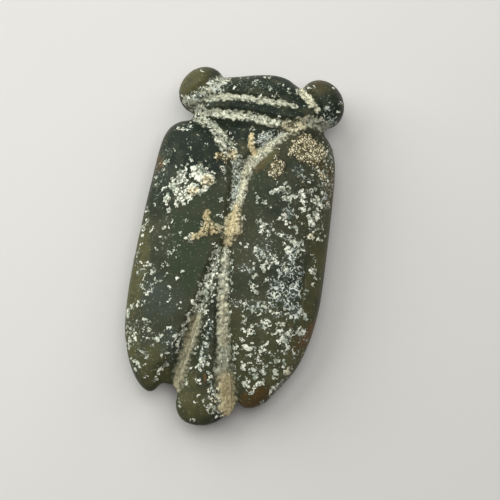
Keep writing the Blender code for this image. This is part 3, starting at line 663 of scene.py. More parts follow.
        (12.6, -1.5, 0.27), (12.9, -1.9, 0.21), (13.3, -2.1, 0.23), (11.8, -0.7, 0.17),
        (12.5, -0.6, 0.14), (12.8, -1.0, 0.14), (12.8, -3.1, 0.2), (12.2, 0.7, 0.18), (12.5, 0.3, 0.24),
        (10.4, 0.1, 0.26), (10.2, -0.1, 0.17), (2.8, -8.0, 0.24), (3.3, -8.1, 0.24), (3.2, -8.5, 0.18),
        (4.0, -8.7, 0.24), (4.7, -8.9, 0.24), (5.1, -8.8, 0.18), (3.2, -9.2, 0.18), (6.0, -7.8, 0.23),
        (6.5, -8.0, 0.24), (6.1, -7.3, 0.18), (6.9, -7.6, 0.18), (7.3, -8.3, 0.23), (7.9, -8.7, 0.24),
        (8.4, -8.4, 0.21), (4.5, -7.2, 0.14), (1.3, -9.8, 0.2), (1.4, -9.5, 0.15),
    )),
    # Right wing, lower part
    Flecks(Deposit.CALCITE, 1.35, (
        (3.7, -10.1, 0.24), (3.6, -10.6, 0.26), (4.0, -11.1, 0.18), (3.5, -9.8, 0.14),
        (5.5, -10.7, 0.18), (5.1, -11.1, 0.2), (4.9, -11.4, 0.23), (4.7, -11.9, 0.3),
        (4.6, -12.4, 0.24), (5.1, -12.2, 0.23), (5.6, -12.1, 0.21), (4.0, -12.2, 0.2),
        (3.6, -12.0, 0.17), (5.8, -10.8, 0.14), (5.9, -9.1, 0.17), (5.7, -9.4, 0.18), (6.4, -8.8, 0.12),
        (6.6, -10.2, 0.24), (7.0, -9.8, 0.23), (7.0, -10.4, 0.23), (7.5, -10.0, 0.18),
        (6.6, -10.9, 0.18), (7.1, -11.1, 0.26), (7.5, -10.7, 0.18), (7.8, -10.4, 0.18),
        (7.4, -11.6, 0.18), (8.9, -8.9, 0.2), (9.8, -8.4, 0.15), (9.8, -9.0, 0.27), (9.4, -9.9, 0.36),
        (9.8, -10.0, 0.27), (9.0, -9.8, 0.24), (8.6, -10.1, 0.17), (8.8, -11.4, 0.29),
        (9.2, -11.2, 0.3), (9.6, -11.1, 0.33), (10.0, -10.9, 0.3), (10.4, -11.1, 0.3),
        (10.7, -11.3, 0.27), (11.0, -11.7, 0.24), (8.3, -11.7, 0.21), (8.8, -10.8, 0.14),
        (10.2, -11.6, 0.24), (10.0, -12.1, 0.36), (9.6, -12.5, 0.27), (10.5, -12.3, 0.24),
        (9.3, -12.7, 0.18), (11.1, -12.2, 0.18), (10.7, -10.6, 0.26), (11.0, -10.3, 0.21),
        (11.2, -10.8, 0.24), (11.6, -10.9, 0.24), (12.1, -10.9, 0.2), (12.3, -10.7, 0.18),
        (12.2, -10.1, 0.27), (12.7, -10.3, 0.39), (13.0, -10.4, 0.27), (12.6, -10.8, 0.26),
        (12.7, -8.1, 0.3), (12.5, -7.8, 0.18), (12.9, -8.3, 0.23), (11.8, -7.4, 0.3),
        (12.2, -7.7, 0.23), (11.7, -7.0, 0.18), (4.1, -13.5, 0.26), (3.9, -13.3, 0.15),
        (3.1, -14.3, 0.18), (2.3, -14.8, 0.2), (2.3, -15.1, 0.17), (3.3, -14.9, 0.3),
        (3.6, -15.7, 0.29), (3.4, -16.5, 0.23), (3.7, -17.6, 0.2), (2.2, -13.2, 0.23),
        (4.9, -14.4, 0.39), (5.3, -14.6, 0.36), (4.5, -14.3, 0.27), (4.5, -14.8, 0.18),
        (5.6, -14.2, 0.24), (5.6, -13.6, 0.2), (6.1, -14.3, 0.2), (6.0, -14.6, 0.2), (5.7, -15.5, 0.27),
        (5.3, -15.6, 0.21), (6.1, -15.2, 0.21), (6.9, -14.4, 0.27), (7.3, -14.2, 0.39),
        (7.7, -14.6, 0.36), (7.3, -14.7, 0.33), (8.1, -14.5, 0.27), (8.5, -14.6, 0.17),
        (7.2, -13.8, 0.17), (7.7, -13.2, 0.23), (6.8, -15.5, 0.23), (6.9, -16.0, 0.24),
        (7.4, -16.4, 0.24), (7.7, -16.3, 0.18), (4.6, -16.8, 0.23), (4.8, -17.5, 0.27),
        (5.1, -17.3, 0.24), (5.1, -17.7, 0.15), (5.5, -16.7, 0.14), (5.9, -16.6, 0.15),
        (6.3, -17.0, 0.21), (6.7, -17.1, 0.17), (8.0, -16.8, 0.3), (8.4, -16.8, 0.17),
        (5.9, -17.7, 0.18), (6.2, -18.1, 0.2), (6.6, -17.7, 0.24), (7.0, -17.5, 0.23),
        (7.0, -18.1, 0.36), (7.3, -18.5, 0.36), (6.8, -18.7, 0.27), (7.0, -19.0, 0.21),
        (7.8, -17.5, 0.3), (8.2, -17.7, 0.27), (8.3, -17.2, 0.2), (8.8, -16.1, 0.18),
        (9.6, -15.4, 0.23), (9.9, -15.5, 0.32), (9.8, -15.9, 0.2), (9.3, -15.0, 0.18),
        (9.8, -16.5, 0.17), (9.9, -17.1, 0.3), (10.1, -17.5, 0.24), (9.9, -18.1, 0.2),
        (10.4, -18.2, 0.18), (10.8, -15.5, 0.21), (11.0, -15.8, 0.2), (11.0, -16.2, 0.23),
        (10.5, -14.0, 0.24), (10.7, -14.4, 0.24), (10.9, -13.8, 0.21), (11.0, -13.1, 0.23),
        (10.7, -12.7, 0.21), (11.3, -13.4, 0.17), (11.9, -13.7, 0.17), (12.2, -14.0, 0.17),
        (8.8, -14.8, 0.14), (9.2, -14.4, 0.14), (11.6, -16.8, 0.42), (11.8, -16.4, 0.33),
        (11.5, -17.2, 0.33), (12.0, -16.2, 0.18), (5.8, -19.1, 0.3), (5.7, -19.8, 0.39),
        (6.1, -19.8, 0.35), (5.4, -19.9, 0.23), (5.7, -20.2, 0.24), (6.4, -19.5, 0.18),
        (5.6, -18.8, 0.17), (7.4, -19.8, 0.3), (7.8, -19.6, 0.36), (7.1, -20.1, 0.23),
        (8.2, -19.3, 0.24), (8.1, -18.8, 0.2), (8.4, -18.9, 0.17), (8.5, -19.4, 0.18),
        (6.8, -21.0, 0.27), (6.6, -21.2, 0.24), (7.2, -20.7, 0.18), (6.3, -20.9, 0.17),
        (5.0, -22.9, 0.15),
    )),
    Flecks(Deposit.CALCITE, 0.8, (
        (4.7, -19.2, 0.29), (8.8, -22.1, 0.29), (11.8, -12.7, 0.15), (12.2, -14.5, 0.15),
        (9.6, -13.9, 0.14), (9.5, -20.6, 0.3), (9.9, -20.0, 0.3), (10.2, -19.5, 0.27),
        (10.7, -18.9, 0.27), (11.2, -18.4, 0.27), (11.8, -17.9, 0.23), (9.9, -20.9, 0.18),
    )),
    # Abdomen and tail
    Flecks(Deposit.CALCITE, 1.25, (
        (-1.7, -11.7, 0.27), (-1.9, -12.5, 0.32), (-1.8, -12.0, 0.23), (-2.1, -13.0, 0.2),
        (-2.0, -13.9, 0.17), (-1.2, -14.1, 0.2), (-1.5, -15.1, 0.27), (-1.1, -15.4, 0.3),
        (-2.7, -15.9, 0.2), (-2.6, -16.2, 0.24), (-2.7, -17.0, 0.17), (-1.7, -16.5, 0.23),
        (-1.3, -16.8, 0.18), (-1.6, -17.7, 0.24), (-1.3, -18.3, 0.33), (-1.7, -18.8, 0.3),
        (-1.3, -19.2, 0.24), (-0.3, -17.0, 0.24), (-0.4, -18.0, 0.21), (-2.8, -19.2, 0.18),
        (0.0, -19.4, 0.3), (0.4, -19.9, 0.27), (0.4, -20.6, 0.23), (-1.4, -20.8, 0.29),
        (-1.0, -21.2, 0.29), (-1.4, -21.4, 0.18), (-3.1, -21.1, 0.23), (-3.2, -21.8, 0.23),
        (-3.3, -22.4, 0.15), (-0.7, -22.9, 0.21), (-0.9, -23.3, 0.14), (-1.1, -24.1, 0.18),
        (-0.6, -24.3, 0.12), (-1.3, -24.3, 0.12), (-3.6, -24.2, 0.21), (-3.5, -24.6, 0.14),
        (-3.2, -25.3, 0.23), (-0.7, -27.0, 0.23), (-1.4, -27.0, 0.18), (0.9, -21.5, 0.26),
        (0.7, -22.1, 0.26), (1.3, -21.8, 0.21), (1.7, -21.5, 0.21), (1.5, -22.3, 0.21),
        (0.9, -23.1, 0.29), (1.4, -23.3, 0.27), (1.9, -22.6, 0.3), (2.2, -23.2, 0.26),
        (1.9, -23.6, 0.18), (0.7, -24.5, 0.18), (1.1, -24.9, 0.26), (1.4, -24.2, 0.26),
        (1.8, -24.6, 0.24), (1.7, -25.3, 0.21), (1.9, -24.3, 0.23), (2.3, -24.0, 0.2),
        (0.2, -23.5, 0.21), (2.5, -24.9, 0.23), (2.5, -25.5, 0.18), (3.1, -25.3, 0.23),
    )),
)

SOIL_FLECKS: tuple[Flecks, ...] = (
    # Granular patch on the right shoulder
    Flecks(Deposit.SOIL, 1.2, (
        (7.0, 18.6, 0.61), (7.8, 18.6, 0.61), (6.5, 18.0, 0.68), (7.5, 17.7, 0.91), (8.4, 17.6, 0.83),
        (6.2, 16.9, 0.76), (5.6, 16.3, 0.61), (5.4, 15.6, 0.46), (6.8, 16.2, 0.99), (7.9, 16.3, 1.06),
        (9.0, 16.5, 0.91), (9.7, 17.3, 0.68), (10.4, 16.5, 0.53), (9.8, 16.0, 0.68), (7.5, 15.3, 0.61),
        (8.6, 15.3, 0.61), (9.4, 15.2, 0.53), (9.8, 14.6, 0.24), (5.9, 17.6, 0.46),
    )),
    # Oval patch on the right wing, and the grains beside it
    Flecks(Deposit.SOIL, 1.2, (
        (3.9, 13.3, 0.91), (4.4, 13.9, 0.68), (3.3, 12.5, 0.76), (3.8, 12.3, 0.76), (2.9, 12.1, 0.46),
        (4.4, 12.9, 0.61), (4.8, 13.5, 0.46), (3.4, 14.7, 0.33), (3.6, 15.4, 0.27), (3.5, 14.1, 0.3),
        (3.6, 15.9, 0.21),
    )),
    # Beside the left arm
    Flecks(Deposit.SOIL, 1.0, (
        (-5.7, 13.3, 0.27), (-5.1, 13.2, 0.52), (-4.4, 13.0, 0.46), (-3.9, 12.5, 0.36),
        (-5.3, 12.7, 0.3), (-3.8, 13.1, 0.27),
    )),
    # Right border
    Flecks(Deposit.SOIL, 0.9, (
        (10.6, 13.7, 0.39), (11.2, 13.2, 0.46), (12.1, 14.2, 0.3), (12.5, 13.3, 0.24),
        (8.1, 11.7, 0.21), (7.3, 12.4, 0.21),
    )),
    # White ends of the splash
    Flecks(Deposit.CALCITE, 1.1, (
        (-7.4, 0.1, 0.29), (-6.8, -0.1, 0.21),
    )),
    Flecks(Deposit.OCHRE, 0.75, (
        (-6.3, 9.4, 0.61), (-5.7, 9.2, 0.68), (-6.5, 8.5, 0.46), (-8.0, 7.1, 0.68), (-7.5, 7.4, 0.46),
        (-4.9, 13.0, 0.76), (-4.0, 12.6, 0.61), (-3.1, 13.9, 0.76),
    )),
    Flecks(Deposit.OCHRE, 0.5, (
        (7.5, 16.7, 3.03), (3.7, 13.3, 1.37), (10.8, 13.5, 0.76), (11.0, 4.1, 0.61), (1.4, -23.3, 0.76),
        (11.8, -16.7, 0.61),
    )),
)

CLOUDS: tuple[Cloud, ...] = (
    # Fine white speckle: the share of the stone it covers
    Cloud(Deposit.VEIL, 0.52, (8.8, -3.6), (3.0, 5.4), -8),
    Cloud(Deposit.VEIL, 0.46, (4.6, -8.0), (4.0, 1.1), 4),
    Cloud(Deposit.VEIL, 0.5, (9.6, -7.6), (3.2, 2.0)),
    Cloud(Deposit.VEIL, 0.4, (5.2, -0.2), (2.7, 1.7), -12),
    Cloud(Deposit.VEIL, 0.42, (7.4, 3.2), (2.0, 0.8), -8),
    Cloud(Deposit.VEIL, 0.4, (9.2, 2.2), (2.0, 1.2), -20),
    Cloud(Deposit.VEIL, 0.3, (4.0, 4.0), (1.6, 1.1)),
    Cloud(Deposit.VEIL, 0.14, (8.0, 9.6), (4.4, 2.0), -6),
    Cloud(Deposit.VEIL, 0.3, (7.6, 13.1), (1.2, 1.7), 10),
    Cloud(Deposit.VEIL, 0.24, (11.4, 7.0), (1.6, 3.2)),
    Cloud(Deposit.VEIL, 0.26, (7.4, 13.6), (1.8, 1.2), 20),
    Cloud(Deposit.VEIL, 0.3, (12.2, 12.5), (1.1, 4.2)),
    Cloud(Deposit.VEIL, 0.3, (6.6, -10.4), (1.6, 1.2)),
    Cloud(Deposit.VEIL, 0.08, (7.4, -15.5), (4.6, 5.0)),
    Cloud(Deposit.VEIL, 0.5, (10.9, -19.1), (1.5, 0.7), 48),
    Cloud(Deposit.VEIL, 0.6, (1.8, 17.4), (2.6, 1.2), 30),
    Cloud(Deposit.VEIL, 0.42, (-10.9, 16.4), (1.7, 0.5), 12),
    Cloud(Deposit.VEIL, 0.14, (-13.2, 9.0), (1.2, 5.5)),
    Cloud(Deposit.VEIL, 0.1, (-10.4, 0.0), (3.0, 4.0)),
    Cloud(Deposit.VEIL, 0.22, (-11.9, -8.6), (1.8, 1.4)),
    Cloud(Deposit.VEIL, 0.26, (-12.4, -5.8), (1.8, 1.0), 35),
    Cloud(Deposit.VEIL, 0.16, (-11.4, -15.4), (2.8, 3.4)),
    Cloud(Deposit.VEIL, 0.16, (-10.6, -19.4), (2.0, 2.6)),
    Cloud(Deposit.VEIL, 0.44, (-7.4, 23.9), (2.0, 1.6), 20),
    Cloud(Deposit.VEIL, 0.5, (-10.0, 20.8), (2.2, 1.9)),
    Cloud(Deposit.VEIL, 0.14, (-1.0, 25.0), (4.4, 1.6), 8),
    Cloud(Deposit.VEIL, 0.46, (9.9, 22.7), (1.2, 1.7)),
    Cloud(Deposit.VEIL, 0.4, (8.8, 20.9), (1.8, 0.8)),
    Cloud(Deposit.VEIL, 0.4, (-1.3, -15.2), (1.0, 4.8)),
    Cloud(Deposit.VEIL, 0.22, (0.9, -22.8), (1.0, 2.4)),
    Cloud(Deposit.VEIL, 0.62, (8.8, 0.4), (1.5, 1.8)),
    Cloud(Deposit.VEIL, 0.62, (10.7, -4.4), (1.7, 1.6)),
    Cloud(Deposit.VEIL, 0.2, (5.0, 0.3), (2.6, 2.8)),
    Cloud(Deposit.VEIL, 0.4, (6.9, 6.9), (1.2, 1.2)),
    Cloud(Deposit.VEIL, 0.2, (3.9, 3.9), (1.0, 1.2)),
    Cloud(Deposit.VEIL, 0.4, (2.6, -2.6), (1.6, 0.9)),
    Cloud(Deposit.VEIL, 0.16, (-6.5, -16.4), (3.0, 4.0), 15),
    Cloud(Deposit.VEIL, 0.22, (11.8, -12.7), (3.2, 3.2)),
    Cloud(Deposit.VEIL, 0.2, (9.2, 14.7), (1.6, 3.4)),
    Cloud(Deposit.VEIL, 0.34, (11.3, 14.3), (1.2, 4.6)),
    Cloud(Deposit.VEIL, 0.5, (10.5, 21.6), (1.4, 1.6)),
    Cloud(Deposit.VEIL, 0.34, (11.9, 9.0), (1.0, 4.4), -6),
    # Olive eyes, borders and tail; on the eyes and borders it is also a painted glow of light through the
    # stone, and on the tail's left flank a painted lit side
    Cloud(Tint.OLIVE_AND_LIGHT, 0.85, (-11.6, 23.6), (3.2, 3.2)),
    Cloud(Tint.OLIVE_AND_LIGHT, 1.0, (-14.0, -7.0), (2.0, 9.0)),
    Cloud(Tint.OLIVE_AND_LIGHT, 0.9, (-12.6, -17.5), (1.9, 3.8), 20),
    Cloud(Tint.OLIVE_AND_LIGHT, 0.6, (-3.0, -22.6), (1.6, 4.4)),
    Cloud(Tint.OLIVE_AND_LIGHT, 0.5, (12.8, -2.0), (1.6, 14.0)),
    Cloud(Tint.OLIVE_AND_LIGHT, 0.4, (6.5, -13.0), (6.0, 8.0)),
    Cloud(Tint.OLIVE_AND_LIGHT, 1.0, (1.8, 14.3), (1.2, 3.0), -36),
    Cloud(Tint.OLIVE_AND_LIGHT, 0.7, (-8.4, -20.0), (3.0, 4.0), 15),
    Cloud(Tint.OLIVE_AND_LIGHT, 0.6, (14.0, 4.0), (1.6, 7.0), -4),
    Cloud(Tint.OLIVE_AND_LIGHT, 0.6, (11.9, 13.7), (1.4, 5.0)),
    Cloud(Tint.OLIVE_AND_LIGHT, 0.7, (12.7, -13.6), (2.6, 4.6), -25),
    Cloud(Tint.OLIVE_AND_LIGHT, 0.7, (10.9, -18.3), (2.6, 2.2)),
    Cloud(Tint.OLIVE_AND_LIGHT, 0.7, (-1.3, -24.5), (3.6, 2.8)),
    # Near black head and crown, with painted shade on the left shoulder, on the dark face between the
    # head's cross grooves and on the shaded walls of the hollows
    Cloud(Tint.DEEP_AND_SHADE, 1.0, (-8.6, 13.6), (5.6, 6.4), 10),
    Cloud(Tint.DEEP_AND_SHADE, 0.9, (-1.4, 18.0), (5.0, 2.4)),
    Cloud(Tint.DEEP_AND_SHADE, 1.0, (-1.5, 21.7), (8.5, 0.9)),
    Cloud(Tint.DEEP_AND_SHADE, 0.8, (0.0, 25.6), (7.5, 1.9)),
    Cloud(Tint.DEEP_AND_SHADE, 0.6, (11.0, 23.0), (3.6, 3.6)),
    Cloud(Tint.DEEP_AND_SHADE, 0.5, (-12.4, 6.0), (2.2, 5.0)),
    Cloud(Tint.DEEP_AND_SHADE, 0.45, (4.6, 8.6), (3.6, 2.6)),
    Cloud(Tint.DEEP_AND_SHADE, 0.5, (-1.6, -12.0), (1.3, 5.0)),
    Cloud(Tint.DEEP_AND_SHADE, 1.0, (-0.9, 21.4), (7.6, 1.15), 4),
    Cloud(Tint.DEEP_AND_SHADE, 0.6, (-1.0, 23.6), (7.6, 3.4), 2),
    Cloud(Tint.DEEP_AND_SHADE, 1.0, (-5.1, 21.0), (3.4, 0.9), -2),
    Cloud(Tint.DEEP_AND_SHADE, 1.0, (3.7, 21.6), (3.0, 1.0), 6),
    Cloud(Tint.DEEP_AND_SHADE, 1.0, (-3.8, 17.6), (3.6, 1.9), -10),
    Cloud(Tint.DEEP_AND_SHADE, 1.0, (4.8, 24.2), (1.5, 2.2), 30),
    Cloud(Tint.DEEP_AND_SHADE, 0.8, (9.8, 23.9), (2.0, 2.4)),
    Cloud(Tint.DEEP_AND_SHADE, 0.8, (-2.6, 17.7), (3.4, 1.6), -10),
    Cloud(Tint.DEEP_AND_SHADE, 0.8, (2.9, 24.7), (3.0, 1.6), 6),
    Cloud(Tint.DEEP_AND_SHADE, 0.55, (8.8, -3.6), (3.6, 5.8), -8),
    # Painted shade on the left wing's inner wall, beside the left channel
    Cloud(Tint.DEEP_AND_SHADE, 0.45, (-5.6, -19.2), (0.7, 3.4), -42),
    Cloud(Tint.DEEP_AND_SHADE, 0.4, (-4.6, -13.7), (0.45, 3.4), -16),
    Cloud(Tint.DEEP_AND_SHADE, 0.35, (9.0, 19.4), (3.4, 1.2)),
    # Brown at the borders and in patches; at the right border it is also a painted glow of light through
    # the stone
    Cloud(Tint.BROWN, 0.35, (7.6, 26.3), (1.6, 1.2)),
    Cloud(Tint.BROWN, 1.0, (13.7, -10.4), (0.8, 3.4), -22),
    Cloud(Tint.BROWN, 0.45, (12.5, -12.5), (1.6, 2.2), -20),
    Cloud(Tint.BROWN, 0.9, (8.3, -22.2), (4.2, 2.4), 30),
    Cloud(Tint.BROWN, 0.6, (1.0, 13.0), (1.2, 1.6), -30),
    Cloud(Tint.BROWN, 0.6, (12.4, 12.0), (1.2, 3.6), 5),
    Cloud(Tint.BROWN, 0.5, (-13.9, 10.2), (0.6, 1.6)),
    Cloud(Tint.BROWN, 0.9, (6.7, 21.4), (0.6, 0.6)),
    Cloud(Tint.BROWN, 0.4, (9.6, 15.0), (2.5, 1.0)),
    # Rusty spots
    Cloud(Tint.RUST, 0.4, (13.8, -10.2), (0.5, 2.6), -22),
    Cloud(Tint.RUST, 0.6, (-0.5, -20.4), (0.3, 0.9)),
    Cloud(Tint.RUST, 0.7, (8.4, -11.8), (0.3, 0.25)),
    Cloud(Tint.RUST, 0.6, (10.9, -10.1), (0.3, 0.3)),
    Cloud(Tint.RUST, 0.8, (-13.4, 10.2), (0.25, 0.55)),
    # Greyer stone on the left wing, partly a painted grey sheen
    Cloud(Tint.GREY_AND_SHEEN, 0.85, (-9.6, -9.5), (4.2, 4.0), 15),
    Cloud(Tint.GREY_AND_SHEEN, 0.35, (-9.0, -17.4), (3.2, 3.6)),
    Cloud(Tint.GREY_AND_SHEEN, 0.5, (-11.6, 9.0), (2.0, 4.0)),
    Cloud(Tint.GREY_AND_SHEEN, 0.9, (-6.7, -17.2), (3.2, 3.4), 15),
    # The greenest stone
    Cloud(Tint.GREEN, 0.9, (-6.6, -2.5), (3.4, 7.0)),
    Cloud(Tint.GREEN, 0.6, (-7.0, 4.0), (5.0, 5.0)),
    Cloud(Tint.GREEN, 0.5, (2.6, 10.0), (2.4, 5.0)),
)

BELLY_CLOUDS: tuple[Cloud, ...] = (
    Cloud(Deposit.VEIL, 0.3, (4.0, -9.0), (8.0, 11.0)),
    Cloud(Deposit.VEIL, 0.22, (-5.0, 8.0), (8.0, 12.0)),
    Cloud(Tint.OLIVE_AND_LIGHT, 0.6, (-4.0, -4.0), (9.0, 14.0)),
    Cloud(Tint.BROWN, 0.5, (7.0, 4.0), (6.0, 12.0)),
)


@dataclass
class SurfacePaint:
    """Lays deposits and tints over the points of a surface. Lengths are in millimetres."""

    points: np.ndarray
    normals: np.ndarray
    seen: np.ndarray
    seed: int = 7
    side_fade: Ramp = (-0.35, 0.1)
    drift: Lumps = Lumps(0.8, 2, 0.6)
    drift_reach: float = 0.4
    twitch: Lumps = Lumps(0.4, 2, 0.6)
    twitch_reach: float = 0.28
    stroke_edge: Ramp = (1.4, 0.5)
    silt_edge: Ramp = (1.35, 0.62)
    fleck_edge: Ramp = (1.35, 0.6)
    cloud_edge: Ramp = (1.15, 0.55)
    clumps: Lumps = Lumps(0.7, 3, 0.7)
    clump_edge: Ramp = (-0.15, 0.25)
    clump_need: float = 0.8
    clump_floor: float = 0.55
    calcite_grains: float = 0.3
    fields: dict[str, np.ndarray] = field(default_factory=dict)

    def __post_init__(self) -> None:
        """Prepares the noises, the wandering places and the share of each point that faces up."""
        self.noise = StoneNoise(self.seed)
        self.other = StoneNoise(self.seed + 1)
        self.up = smooth_step(*self.side_fade, self.normals[:, 2])
        drift, twitch = (
            np.stack([source.fractal(self.points, lumps) for source in (self.noise, self.other)], axis=1)
            for lumps in (self.drift, self.twitch)
        )
        self.smooth_place = self.seen + self.drift_reach * drift
        self.place = self.smooth_place + self.twitch_reach * twitch
        for kind in (*Deposit, *Tint):
            self.fields[kind.value] = np.zeros(len(self.points))

    def _raise(self, kind: Deposit | Tint, amount: np.ndarray) -> None:
        """Keeps the larger of a field and a new amount.

        Args:
            kind: The field.
            amount: The new amount at each point.
        """
        self.fields[kind.value] = np.maximum(self.fields[kind.value], amount)

    def coat(self, line: Stroke, coat: Coat) -> None:
        """Lays one deposit along a line.

        Args:
            line: The line.
            coat: The deposit.
        """
        best = np.full(len(self.points), np.inf)
        silted = coat.deposit in (Deposit.SILT, Deposit.CLAY)
        place, edge = (self.smooth_place, self.silt_edge) if silted else (self.place, self.stroke_edge)
        stops = line.stops[coat.start:coat.end]
        for (x0, y0, w0), (x1, y1, w1) in zip(stops, stops[1:]):
            start, along = np.array((x0, y0)), np.array((x1 - x0, y1 - y0))
            offset = place - start
            share = np.clip(offset @ along / (along @ along), 0, 1)
            gap = np.linalg.norm(offset - share[:, None] * along, axis=1)
            best = np.minimum(best, gap / (w0 + coat.wider + share * (w1 - w0)))
        self._raise(coat.deposit, coat.strength * smooth_step(*edge, best) * self.up)

    def flecks(self, group: Flecks) -> None:
        """Lays a group of separate flecks.

        Args:
            group: The deposit and its spots.
        """
        best = np.full(len(self.points), np.inf)
        for x, y, radius in group.spots:
            best = np.minimum(best, np.linalg.norm(self.place - (x, y), axis=1) / radius)
        self._raise(group.deposit, group.strength * smooth_step(*self.fleck_edge, best) * self.up)

    def cloud(self, oval: Cloud, above: bool) -> None:
        """Gathers a deposit or tint in a soft oval.

        Args:
            oval: The oval.
            above: True on the back, and False on the belly.
        """
        turn = math.radians(oval.turn)
        x, y = (self.place - oval.middle).T
        across = (x * math.cos(turn) + y * math.sin(turn)) / oval.radii[0]
        along = (y * math.cos(turn) - x * math.sin(turn)) / oval.radii[1]
        side = self.up if above else 1 - self.up
        spread = smooth_step(*self.cloud_edge, np.hypot(across, along))
        self._raise(oval.kind, oval.strength * spread * side)

    def clump(self) -> None:
        """Gathers what lies in the cuts into clumps."""
        crumbs = self.other.even(self.points, self.clumps)
        for kind in (Deposit.CALCITE, Deposit.SOIL):
            amount = self.fields[kind.value]
            held = smooth_step(*self.clump_edge, crumbs - (1 - amount) * self.clump_need)
            self.fields[kind.value] = amount * (self.clump_floor + (1 - self.clump_floor) * held)

    def lay_all(self) -> None:
        """Lays every deposit and tint of the amulet."""
        for line in STROKES:
            for coat in line.coats:
                self.coat(line, coat)
        self.clump()
        for line in OCHRE_STROKES:
            for coat in line.coats:
                self.coat(line, coat)
        for group in (*FLECKS, *SOIL_FLECKS):
            self.flecks(group)
        for oval in CLOUDS:
            self.cloud(oval, above=True)
        for oval in BELLY_CLOUDS:
            self.cloud(oval, above=False)
        calcite = self.calcite_grains * self.fields[Deposit.CALCITE.value]
        loose = self.fields[Deposit.SOIL.value] + calcite
        self.fields[Deposit.GRAIN.value] = np.clip(loose, 0, 1)


@dataclass
class AmuletStone:
    """The carved stone: the solid's own form in a fine mesh, with the relief of its deposits.

    Lengths are in millimetres, and facings are the upward part of a point's normal.
    """

    camera: PhotoCamera
    voxel: float = 0.18
    most_faces: int = 194000
    merge: float = 0.001
    smoothing: int = 7
    smoothing_share: float = 0.5
    belly_facing: float = -0.25
    calcite_rise: float = 0.04
    veil_rise: float = 0.02
    soil_rise: float = 0.13
    silt_rise: float = 0.6
    clay_rise: float = 0.07
    crumbs: Lumps = Lumps(0.55, 2, 0.7)
    crumb_relief: float = 0.11
    calcite_crumbs: float = 0.5
    wear: Lumps = Lumps(4.0, 3)
    wear_relief: float = 0.03
    rise_facing: Ramp = (0.1, 0.6)
    head_swell: float = 0.08
    head_edge: Ramp = (18.5, 21.5)
    foot_fade: Ramp = (0.0, 0.6)

    def _thin_belly(self, stone: bpy.types.Object) -> bpy.types.Object:
        """Gives the plain underside larger faces.

        Args:
            stone: The evenly fine stone.

        Returns:
            The same stone.
        """
        data = stone.data
        under = np.flatnonzero(read_vectors(data.vertices, "normal")[:, 2] < self.belly_facing)
        group = stone.vertex_groups.new(name="under")
        group.add(under.tolist(), 1.0, "REPLACE")
        data.calc_loop_triangles()
        thin = stone.modifiers.new("thin", "DECIMATE")
        thin.ratio = min(1.0, self.most_faces / len(data.loop_triangles))
        thin.vertex_group = group.name
        settle(stone)
        stone.vertex_groups.clear()
        return stone

    def _fine_copy(self) -> bpy.types.Object:
        """The solid's mesh, merged, reskinned evenly and smoothed.

        Returns:
            The new object.
        """
        mesh = bmesh.new()
        mesh.from_mesh(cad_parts[NODE].data)
        bmesh.ops.remove_doubles(mesh, verts=mesh.verts, dist=self.merge * MM)
        data = bpy.data.meshes.new("jade_stone")
        mesh.to_mesh(data)
        mesh.free()
        stone = bpy.data.objects.new("jade_stone", data)
        bpy.context.scene.collection.objects.link(stone)
        skin = stone.modifiers.new("skin", "REMESH")
        skin.mode = "VOXEL"
        skin.voxel_size = self.voxel * MM
        soft = stone.modifiers.new("soft", "SMOOTH")
        soft.factor = self.smoothing_share
        soft.iterations = self.smoothing
        return self._thin_belly(settle(stone))

    def _lift(self, points: np.ndarray, normals: np.ndarray, paint: SurfacePaint) -> np.ndarray:
        """How far deposits and wear move each point along its normal.

        Args:
            points: The points.
            normals: Their normals.
            paint: What lies on them.

        Returns:
            One height for each point.
        """
        calcite, veil, soil, silt, clay = (
            paint.fields[kind.value]
            for kind in (Deposit.CALCITE, Deposit.VEIL, Deposit.SOIL, Deposit.SILT, Deposit.CLAY)
        )
        crumbs = paint.noise.fractal(points, self.crumbs)
        lift = (
            self.calcite_rise * calcite
            + self.veil_rise * veil
            + self.soil_rise * soil
            + self.silt_rise * silt**2
            + self.crumb_relief * crumbs * np.maximum(soil, self.calcite_crumbs * calcite)
            + self.clay_rise * clay
            + self.wear_relief * paint.other.fractal(points, self.wear)
        )
        lift *= np.where(lift > 0, smooth_step(*self.rise_facing, normals[:, 2]), 1.0)
        lift += self.head_swell * smooth_step(*self.head_edge, paint.seen[:, 1])
        return lift * smooth_step(*self.foot_fade, points[:, 2])

    def build(self) -> bpy.types.Object:
        """Makes the stone, paints its deposits and raises them.

        Returns:
            The stone's object, with one attribute for each deposit and tint.
        """
        stone = self._fine_copy()
        data = stone.data
        points = read_vectors(data.vertices, "co") / MM
        normals = read_vectors(data.vertices, "normal")
        paint = SurfacePaint(points, normals, self.camera.seen(points))
        paint.lay_all()
        raised = points + normals * self._lift(points, normals, paint)[:, None]
        data.vertices.foreach_set("co", (raised * MM).ravel())
        for name, values in paint.fields.items():
            layer = data.attributes.new(name, "FLOAT", "POINT")
            layer.data.foreach_set("value", values.astype(np.float32))
        data.shade_smooth()
        data.update()
        return stone


def read_vectors(items: bpy.types.bpy_prop_collection, name: str) -> np.ndarray:
    """A three-number property of every item.

    Args:
        items: A mesh's vertices, or the like.
        name: The property.

    Returns:
        One row for each item.
    """
    values = np.empty(len(items) * 3)
    items.foreach_get(name, values)
    return values.reshape(-1, 3)


def settle(piece: bpy.types.Object) -> bpy.types.Object:
    """Makes a piece's evaluated mesh its own and drops its modifiers.

    Args:
        piece: The piece.

    Returns:
        The same piece.
    """
    graph = bpy.context.evaluated_depsgraph_get()
    finished = bpy.data.meshes.new_from_object(piece.evaluated_get(graph))
    piece.modifiers.clear()
    piece.data = finished
    return piece


